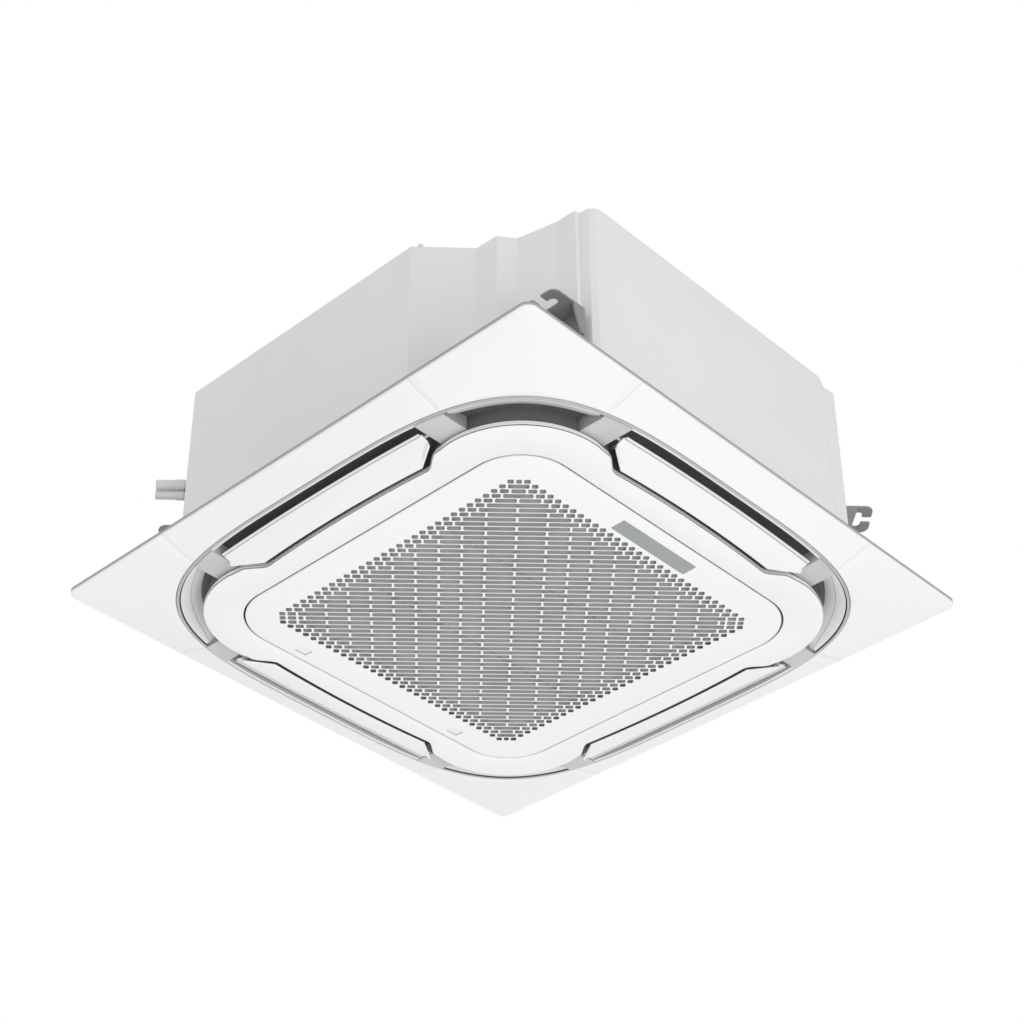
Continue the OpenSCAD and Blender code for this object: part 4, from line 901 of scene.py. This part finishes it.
def make_inner_frame():
    """The frame's face with its rounded outer edge, its shadow line groove painted in shade, and
    skirts.
    """
    # Offsets and heights, from the skirt round the edge and its shadow line to the face
    edge = [(-4.5, -157.0), (-2.4, -157.0), (-2.4, -162.6), (-0.3, -162.7), (0.0, -163.0),
            (0.0, -164.3), (-0.3, -164.6), (-2.4, -164.7), (-2.4, -166.0), (-0.9, -166.1),
            (-1.1, -166.6), (-2.0, -167.0), (-4.0, FACE_Z)]
    loops = [outline_loop(offset, z, BULGE_GROW) for offset, z in edge]
    shadow_from, shadow_to = 6, 9
    angles = [math.atan2(p[1], p[0]) for p, _, _ in OUTLINE]
    for out, z in ((1.0, SEAM_Z), (0.3, SEAM_Z + 0.3), (0.0, SEAM_Z + 1.0), (0.0, SEAM_Z + 3.0),
                   (SKIRT_IN, SEAM_Z + 3.0), (SKIRT_IN, SKIRT_TOP), (SKIRT_OUT, SKIRT_TOP),
                   (SKIRT_OUT, SEAM_Z + 3.0)):
        loops.append([polar(t, rounded_r(t, OPENING_HALF + out, OPENING_R + out), z)
                      for t in angles])
    loops.append(outline_loop(-4.5, FACE_Z + 3.2, BULGE_GROW))
    verts, faces = [], []
    loft(verts, faces, loops, wrap=True)
    # The groove's faces take the mid grey of painted shade
    marks = [1 if shadow_from <= i // len(OUTLINE) < shadow_to else 0 for i in range(len(faces))]
    piece("inner_frame_skin", verts, faces, "unit", ["frame_white", "duct_painted_shade"], ["inner_frame"],
          marks)


# Suction grille

def row_half(k):
    """Half length of a row of slots, shorter towards the corners of the field."""
    return min(TIP_HALF, ROW_REACH - ROW_PITCH * abs(k))


def row_cells(k):
    """Starts and ends of the cells in a row, measured from the row's middle."""
    half = row_half(k)
    ribs = []
    step = END_CELL + RIB_W / 2
    if half > step + 3.0:
        ribs += [-half + step, half - step]
    inner = half - END_CELL - RIB_W - SECOND_CELL - RIB_W / 2
    if inner > 9.0:
        ribs += [-inner, inner]
    first = EVEN_RIB if k % 2 == 0 else ODD_RIB
    if k % 2 and inner > 14.0:
        ribs.append(0.0)
    while first < inner - 9.0:
        ribs += [-first, first]
        first += RIB_PITCH
    ribs.sort()
    cells, start = [], -half
    for rib in ribs:
        cells.append((start, rib - RIB_W / 2))
        start = rib + RIB_W / 2
    cells.append((start, half))
    return cells


def cell_loop(u0, u1, v, half_w, r):
    """A rounded slot as a loop of (x, y)."""
    root = math.sqrt(0.5)
    out = []
    for cu, cv, start in ((u1 - r, v + half_w - r, 0.0), (u0 + r, v + half_w - r, 0.5),
                          (u0 + r, v - half_w + r, 1.0), (u1 - r, v - half_w + r, 1.5)):
        for i in range(4):
            a = math.pi * (start + 0.5 * i / 3)
            u, w = cu + r * math.cos(a), cv + r * math.sin(a)
            out.append(((u + w) * root, (u - w) * root))
    return out


def all_cells():
    """Every slot of the grille: start and end along its row, and the row's place."""
    out = []
    for k in range(-ROWS_EACH_WAY, ROWS_EACH_WAY + 1):
        for u0, u1 in row_cells(k):
            out.append((u0 + ROW_CENTRE[0], u1 + ROW_CENTRE[0], ROW_CENTRE[1] + k * ROW_PITCH))
    return out


def latch_windows():
    """Middle and half sizes of the two windows that the latch buttons show through."""
    return [(LATCH_X, y, LATCH_HX, LATCH_HY) for y in (-LATCH_Y, LATCH_Y)]


def box_loop(cx, cy, hx, hy, r):
    """A rectangle with rounded corners as a loop of (x, y)."""
    out = []
    for sx, sy, start in ((1, 1, 0.0), (-1, 1, 0.5), (-1, -1, 1.0), (1, -1, 1.5)):
        for i in range(5):
            a = math.pi * (start + 0.5 * i / 4)
            out.append((cx + sx * (hx - r) + r * math.cos(a), cy + sy * (hy - r) + r * math.sin(a)))
    return out


def grille_r(theta, inset):
    """Distance from the middle to the grille's outline, or to a line inside it."""
    return rounded_r(theta, GRILLE_HALF - inset, GRILLE_R - inset)


def grille_z(x, y):
    """Height of the grille's face: a low pillow from its rim up to the slotted field."""
    theta, r = math.atan2(y, x), math.hypot(x, y)
    near, far = rounded_r(theta, FIELD_HALF, FIELD_R), grille_r(theta, RIM_INSET)
    t = min(max((far - r) / (far - near), 0.0), 1.0)
    return RIM_Z + (FIELD_Z - RIM_Z) * math.sin(0.5 * math.pi * t)


def grille_holes():
    """Loops of the slots and latch windows: on the face, in the throat and on the back."""
    cells = all_cells()
    holes = [cell_loop(u0 - 0.3, u1 + 0.3, v, SLOT_W / 2 + 0.3, 2.6) for u0, u1, v in cells]
    throats = [cell_loop(u0, u1, v, SLOT_W / 2, 2.3) for u0, u1, v in cells]
    backs = [cell_loop(u0 + 0.3, u1 - 0.3, v, SLOT_W / 2 - 0.3, 2.0) for u0, u1, v in cells]
    for cx, cy, hx, hy in latch_windows():
        holes.append(box_loop(cx, cy, hx + 0.3, hy + 0.3, 2.0))
        throats.append(box_loop(cx, cy, hx, hy, 1.8))
        backs.append(box_loop(cx, cy, hx, hy, 1.8))
    return holes, throats, backs


def slope_points():
    """Points between the rim and the field, so that the sheet follows its slope."""
    out, clear_x, clear_y = [], 11.5, 14.5
    for i in range(1, 9):
        t = i / 9
        half = GRILLE_HALF - RIM_INSET + (FIELD_HALF - GRILLE_HALF + RIM_INSET) * t
        r = GRILLE_R - RIM_INSET + (FIELD_R - GRILLE_R + RIM_INSET) * t
        for a in ring_angles(144):
            x, y = polar(a, rounded_r(a, half, r), 0.0)[:2]
            if not any(abs(x - w[0]) < clear_x and abs(y - w[1]) < clear_y for w in latch_windows()):
                out.append(Vector((x, y)))
    return out


def pierced_sheet(rim, holes):
    """The face's points, its triangles, each loop's point numbers and the hole each belongs to."""
    pts, edges, starts = loop_edges([rim] + holes)
    made = delaunay_2d_cdt(pts + slope_points(), edges, [], 0, 1e-6)
    got, tris, origin = made[0], made[2], made[3]
    home = {s: i for i, sources in enumerate(origin) for s in sources}
    ids = [[home[base + i] for i in range(len(loop))] for base, loop in zip(starts, [rim] + holes)]
    owner = {}
    for hole, loop in enumerate(ids[1:]):
        for i, at in enumerate(loop):
            owner[at] = (hole, i)
    keep = []
    for tri in tris:
        who = [owner.get(i) for i in tri]
        if not (all(who) and len({w[0] for w in who}) == 1):
            keep.append(tuple(tri))
    return got, keep, ids, owner


def slot_walls(verts, faces, front, back, loops, throats):
    """Walls through each hole, by way of its throat; gives the numbers of the inner ones."""
    inner = set()
    for ids, throat in zip(loops, throats):
        mid = len(verts)
        verts += [(x, y, grille_z(x, y) + 0.25) for x, y in throat]
        for i in range(len(ids)):
            j = (i + 1) % len(ids)
            faces.append((front + ids[i], front + ids[j], mid + j, mid + i))
            inner.add(len(faces))
            faces.append((mid + i, mid + j, back + ids[j], back + ids[i]))
    return inner


def band(faces, one, two):
    """Joins two loops of point numbers with a ring of faces."""
    for i in range(len(one)):
        j = (i + 1) % len(one)
        faces.append((one[i], one[j], two[j], two[i]))


def rim_wall(verts, faces, front, back, ids, angles):
    """The grille's rounded outer edge, from its face round to its back."""
    last = [front + i for i in ids]
    for step, z in ((0.8, RIM_Z + 0.3), (0.25, RIM_Z + 0.9), (0.0, RIM_Z + 1.7),
                    (0.0, RIM_Z + 3.0), (1.2, RIM_Z + 3.0)):
        loop = list(range(len(verts), len(verts) + len(angles)))
        verts += [polar(t, grille_r(t, step), z) for t in angles]
        band(faces, last, loop)
        last = loop
    band(faces, last, [back + i for i in ids])


def make_grille():
    """The slotted grille as a sheet with a face, a back and walls, and its goosenecks."""
    holes, throats, backs = grille_holes()
    angles = ring_angles(288)
    rim = [polar(t, grille_r(t, RIM_INSET), 0.0)[:2] for t in angles]
    sheet, keep, ids, owner = pierced_sheet(rim, holes)
    front, back = 0, len(sheet)
    verts = [(p.x, p.y, grille_z(p.x, p.y)) for p in sheet]
    for i, p in enumerate(sheet):
        x, y = backs[owner[i][0]][owner[i][1]] if i in owner else (p.x, p.y)
        verts.append((x, y, grille_z(x, y) + PLATE_T))
    faces = [tuple(front + i for i in tri) for tri in keep]
    faces += [tuple(back + i for i in reversed(tri)) for tri in keep]
    walls = slot_walls(verts, faces, front, back, ids[1:], throats)
    rim_wall(verts, faces, front, back, ids[0], angles)
    # The deeper half of each slot's wall takes the grey of painted shade
    piece("suction_grille_face", verts, faces, "grille", ["grille_white", "slot_painted_shade"],
          ["suction_grille"], [1 if i in walls else 0 for i in range(len(faces))])
    verts, faces = [], []
    grille_necks(verts, faces)
    piece("grille_goosenecks", verts, faces, "grille", ["grille_white"])


def prism(verts, faces, path, low, high, place):
    """A flat outline given thickness; place turns (a, b, c) into a point."""
    loft(verts, faces, [[place(a, b, c) for a, b in path] for c in (low, high)])


def disc_path(cx, cy, r, count=20):
    return [(cx + r * math.cos(2 * math.pi * i / count), cy + r * math.sin(2 * math.pi * i / count))
            for i in range(count)]


def across(a, b, c):
    """Place of a prism whose outline stands in the xz plane."""
    return (a, c, b)


def grille_necks(verts, faces):
    """The two goosenecks that carry the grille on its hinge pins."""
    hx, hz, top = HINGE_X, HINGE_Z, NECK_TOP
    path = [(hx - 21.0, RIM_Z + 0.8), (hx - 18.0, RIM_Z + 0.8), (hx - 18.0, top - 1.0),
            (hx - 17.0, top), (hx - 4.0, top), (hx - 3.0, top - 1.0), (hx - 3.0, hz),
            (hx - 1.0, hz), (hx - 1.0, top + 1.0), (hx - 3.0, top + 3.0), (hx - 19.0, top + 3.0),
            (hx - 21.0, top + 1.0)]
    for y in (-NECK_Y, NECK_Y):
        prism(verts, faces, path, y - NECK_HALF, y + NECK_HALF, across)
        prism(verts, faces, disc_path(hx, hz, 4.0), y - NECK_HALF, y + NECK_HALF, across)


# Flaps, latches and bare plate

def flap_inner(s):
    """Inner edge of a flap, with its cut corners."""
    if abs(s) <= RECESS_HALF:
        return FLAP_IN + RECESS_BOW * (1.0 - (s / RECESS_HALF) ** 2)
    return FLAP_IN + FLAP_CUT * (abs(s) - RECESS_HALF) / (FLAP_HALF - RECESS_HALF)


def flap_z(d):
    """Height of a flap's curved face, rising from its inner edge to its outer edge."""
    fall = (d - SLOPE_D) / SLOPE_W
    return FLAP_LOW + FLAP_RISE * (0.62 * fall + 0.38 * fall * fall)


def flap_section(s, squeeze):
    """White skin of a flap in cross-section, from its rounded inner edge to its outer edge."""
    inner, outer = flap_inner(s), FLAP_OUT - FLAP_BOW * (s / FLAP_HALF) ** 2
    low = [(0.3, -163.9), (0.0, -164.3), (0.4, -165.0), (1.6, -165.6), (4.0, FLAP_LOW)]
    pts = [(inner + d, z + squeeze * 0.1 * i) for i, (d, z) in enumerate(low)]
    start = inner + 4.0
    for i in range(1, 13):
        t = i / 12
        d = start + (outer - start) * t
        pts.append((d, flap_z(d) + 0.4 * squeeze))
    d, z = pts[-1]
    pts += [(d + 0.5, z + 0.35), (d + 0.6, z + 1.0), (d + 0.2, z + 2.4)]
    for i in range(6):
        t = 1.0 - i / 5
        x = start + (d - start) * t
        pts.append((x, flap_z(x) + 2.2))
    return pts


def vane_section(s):
    """The vane above the skin in cross-section, which stands out past its outer edge."""
    inner, outer = flap_inner(s) + 9.0, VANE_OUT - FLAP_BOW * (s / FLAP_HALF) ** 2
    pts = []
    for i in range(9):
        d = inner + (outer - 9.6 - inner) * i / 8
        pts.append((d, flap_z(d) + 1.6))
    z = pts[-1][1] - 0.6
    pts += [(outer - 6.4, z), (outer - 5.0, z), (outer - 3.6, z + 0.1), (outer - 0.8, z + 0.2),
            (outer, z + 0.9), (outer - 0.3, z + 2.0)]
    for i in range(9):
        d = outer - 9.0 + (inner - outer + 9.0) * i / 8
        pts.append((d, flap_z(d) + 3.4))
    return pts


def flap_places(half):
    """Places of the sections along a flap, closer together at its rounded ends."""
    out = [-half, -half + 0.6, -half + 1.6, -190.0, -176.0]
    out += [RECESS_HALF * i / 12 for i in range(-12, 13)]
    return out + [176.0, 190.0, half - 1.6, half - 0.6, half]


def flap_arms(verts, faces, k):
    """The two arms of a flap with their pivot pins."""
    path = [(383.0, -157.5), (391.0, -156.0), (391.0, PIVOT_Z)]
    path += [(PIVOT_D + 4 * math.cos(a), PIVOT_Z + 4 * math.sin(a))
             for a in [math.pi * i / 8 for i in range(1, 8)]]
    path += [(383.0, PIVOT_Z)]
    pin = disc_path(PIVOT_D, PIVOT_Z, 2.0)
    for side in (-1, 1):
        for outline, start, end in ((path, ARM_IN, ARM_OUT), (pin, PIN_IN, PIN_OUT)):
            prism(verts, faces, outline, side * start, side * end,
                  lambda a, b, c: turned(k, (a, c, b)))


def make_flap(number):
    """One air flap: white skin, pale vane with its strip of painted shade along the skin's edge, and
    the arms.
    """
    k = number - 1
    verts, faces = [], []
    places = flap_places(FLAP_HALF)
    sections = []
    for i, s in enumerate(places):
        squeeze = {0: 1.0, 1: 0.35, len(places) - 2: 0.35, len(places) - 1: 1.0}.get(i, 0.0)
        sections.append([turned(k, (d, s, z)) for d, z in flap_section(s, squeeze)])
    loft(verts, faces, sections)
    white = len(faces)
    vanes = [[turned(k, (d, s, z)) for d, z in vane_section(s)] for s in flap_places(VANE_HALF)]
    loft(verts, faces, vanes)
    flap_arms(verts, faces, k)
    marks = [0] * white + [1] * (len(faces) - white)
    # One strip of each vane, along the skin's edge, takes the mid grey of painted shade
    for i in range(len(vanes) - 1):
        marks[white + i * len(vanes[0]) + VANE_SHADOW] = 2
    piece(f"flap_skin_{number}", verts, faces, f"flap_{number}_body",
          ["flap_white", "duct_pale_and_painted_light", "duct_painted_shade"], [f"flap_{number}"], marks)


def make_latch(number):
    """A slide button behind its window, long enough to fill it over its whole travel."""
    cx, cy, hx, hy = latch_windows()[number - 1]
    mid, long, wide = cx - 0.5 * LATCH_TRAVEL, hx + 0.5 * LATCH_TRAVEL + 0.8, hy + 0.8
    verts, faces, loops = [], [], []
    for inset, lift in ((0.4, 3.4), (0.0, 3.0), (0.0, 1.8), (0.3, 1.5)):
        loops.append([(x, y, grille_z(x, y) + lift)
                      for x, y in box_loop(mid, cy, long - inset, wide - inset, 2.0)])
    loft(verts, faces, loops)
    side = "left" if number == 1 else "right"
    piece(f"latch_button_{number}", verts, faces, f"latch_{side}", ["latch_white"])


# Hanger brackets

def arc(cx, cy, r, start, end, count):
    """Points on an arc between two angles in degrees."""
    out = []
    for i in range(count + 1):
        a = math.radians(start + (end - start) * i / count)
        out.append((cx + r * math.cos(a), cy + r * math.sin(a)))
    return out


def hook_outline(wall, trim):
    """A hook plate with its bean pocket and mouth, seen from above, mouth to the right."""
    half, nose, r = HOOK_HALF - trim, HOOK_NOSE - trim, HOOK_ROUND - trim
    pr, mh, reach = POCKET_R + trim, MOUTH_HALF + trim, POCKET_LONG - POCKET_R
    lip = MOUTH_LIP
    path = [(-wall, -half)] + arc(nose - r, -half + r, r, -90.0, 0.0, 8)
    path += arc(nose - lip, -mh - lip, lip, 0.0, 90.0, 4)
    path += [(pr + 1.5, -mh), (pr, -mh - 1.5)]
    path += arc(0.0, -reach, pr, 0.0, -180.0, 10) + arc(0.0, reach, pr, 180.0, 0.0, 10)
    path += [(pr, mh + 1.5), (pr + 1.5, mh)]
    path += arc(nose - lip, mh + lip, lip, -90.0, 0.0, 4)
    path += arc(nose - r, half - r, r, 0.0, 90.0, 8) + [(-wall, half)]
    return path


def make_bracket(number):
    """A pressed hanger bracket: hook plate, flange down the casing, two gussets, two bolt heads."""
    (rx, ry), turn, (out, side), wall = HOOKS[number - 1]
    c, s = math.cos(math.radians(turn)), math.sin(math.radians(turn))

    def place(x, y, z):
        x, y = x + out, y + side
        return (rx + x * c - y * s, ry + x * s + y * c, z)

    verts, faces = [], []
    loops = [hook_outline(wall, trim) for trim in (0.7, 0.0, 0.0, 0.7)]
    heights = (0.0, 0.8, HOOK_T - 0.8, HOOK_T)
    loft(verts, faces, [[place(x, y, z) for x, y in path] for path, z in zip(loops, heights)])
    half = HOOK_HALF
    turn_z = -HOOK_FLANGE + FLANGE_R
    flange = [(-half, 0.0), (-half, turn_z)]
    flange += arc(-half + FLANGE_R, turn_z, FLANGE_R, 180.0, 270.0, 6)
    flange += arc(half - FLANGE_R, turn_z, FLANGE_R, 270.0, 360.0, 6) + [(half, 0.0)]
    prism(verts, faces, flange, -wall, -wall + HOOK_T, lambda a, b, c: place(c, a, b))
    for y in (-half, half - HOOK_T):
        low = -HOOK_FLANGE + GUSSET_SHORT
        gusset = [(-wall + HOOK_T, 0.0), (-wall + HOOK_T, low), (-wall + 7.0, low),
                  (-wall + GUSSET_OUT, -7.0), (-wall + GUSSET_OUT, 0.0)]
        prism(verts, faces, gusset, y, y + HOOK_T, lambda a, b, c: place(a, c, b))
    for y in (-half / 2, half / 2):
        head = disc_path(0.0, 0.0, BOLT_R, 6)
        prism(verts, faces, head, -wall + HOOK_T, -wall + HOOK_T + BOLT_H,
              lambda a, b, c: place(c, y + a, b - BOLT_DROP))
    piece(f"hanger_bracket_plate_{number}", verts, faces, "unit", ["bracket_steel"],
          [f"hanger_bracket_{number}"])


def make_badge():
    """The plain grey plate on the grille's slope, with a fine bevel."""
    verts, faces, loops = [], [], []
    for inset, lift in ((0.0, 0.4), (0.0, -0.5), (0.25, -0.8), (0.9, -0.95)):
        loops.append([(x, y, grille_z(x, y) + lift) for x, y in box_loop(
            BADGE_X, 0.0, BADGE_HX - inset, BADGE_HY - inset, 1.2)])
    loft(verts, faces, loops)
    piece("blank_badge_plate", verts, faces, "grille", ["badge_grey"], ["blank_badge"])


bpy.context.scene.view_settings.view_transform = "Standard"
make_camera()
make_world(0.72)
area_lamp("key", (3.4, -0.6, -2.6), (0.0, 0.0, 0.0), 2.6, 55.0)
area_lamp("fill", (-0.6, -3.6, -2.4), (0.0, 0.0, 0.0), 3.0, 18.0)
area_lamp("under", (-1.6, 1.6, -3.6), (-0.1, 0.1, -0.1), 2.4, 22.0)
make_floor()
dress_cad_nodes()
make_panel()
make_outlet()
make_inner_frame()
make_grille()
for flap_number in (1, 2, 3, 4):
    make_flap(flap_number)
for latch_number in (1, 2):
    make_latch(latch_number)
for bracket_number in (1, 2, 3, 4):
    make_bracket(bracket_number)
make_badge()
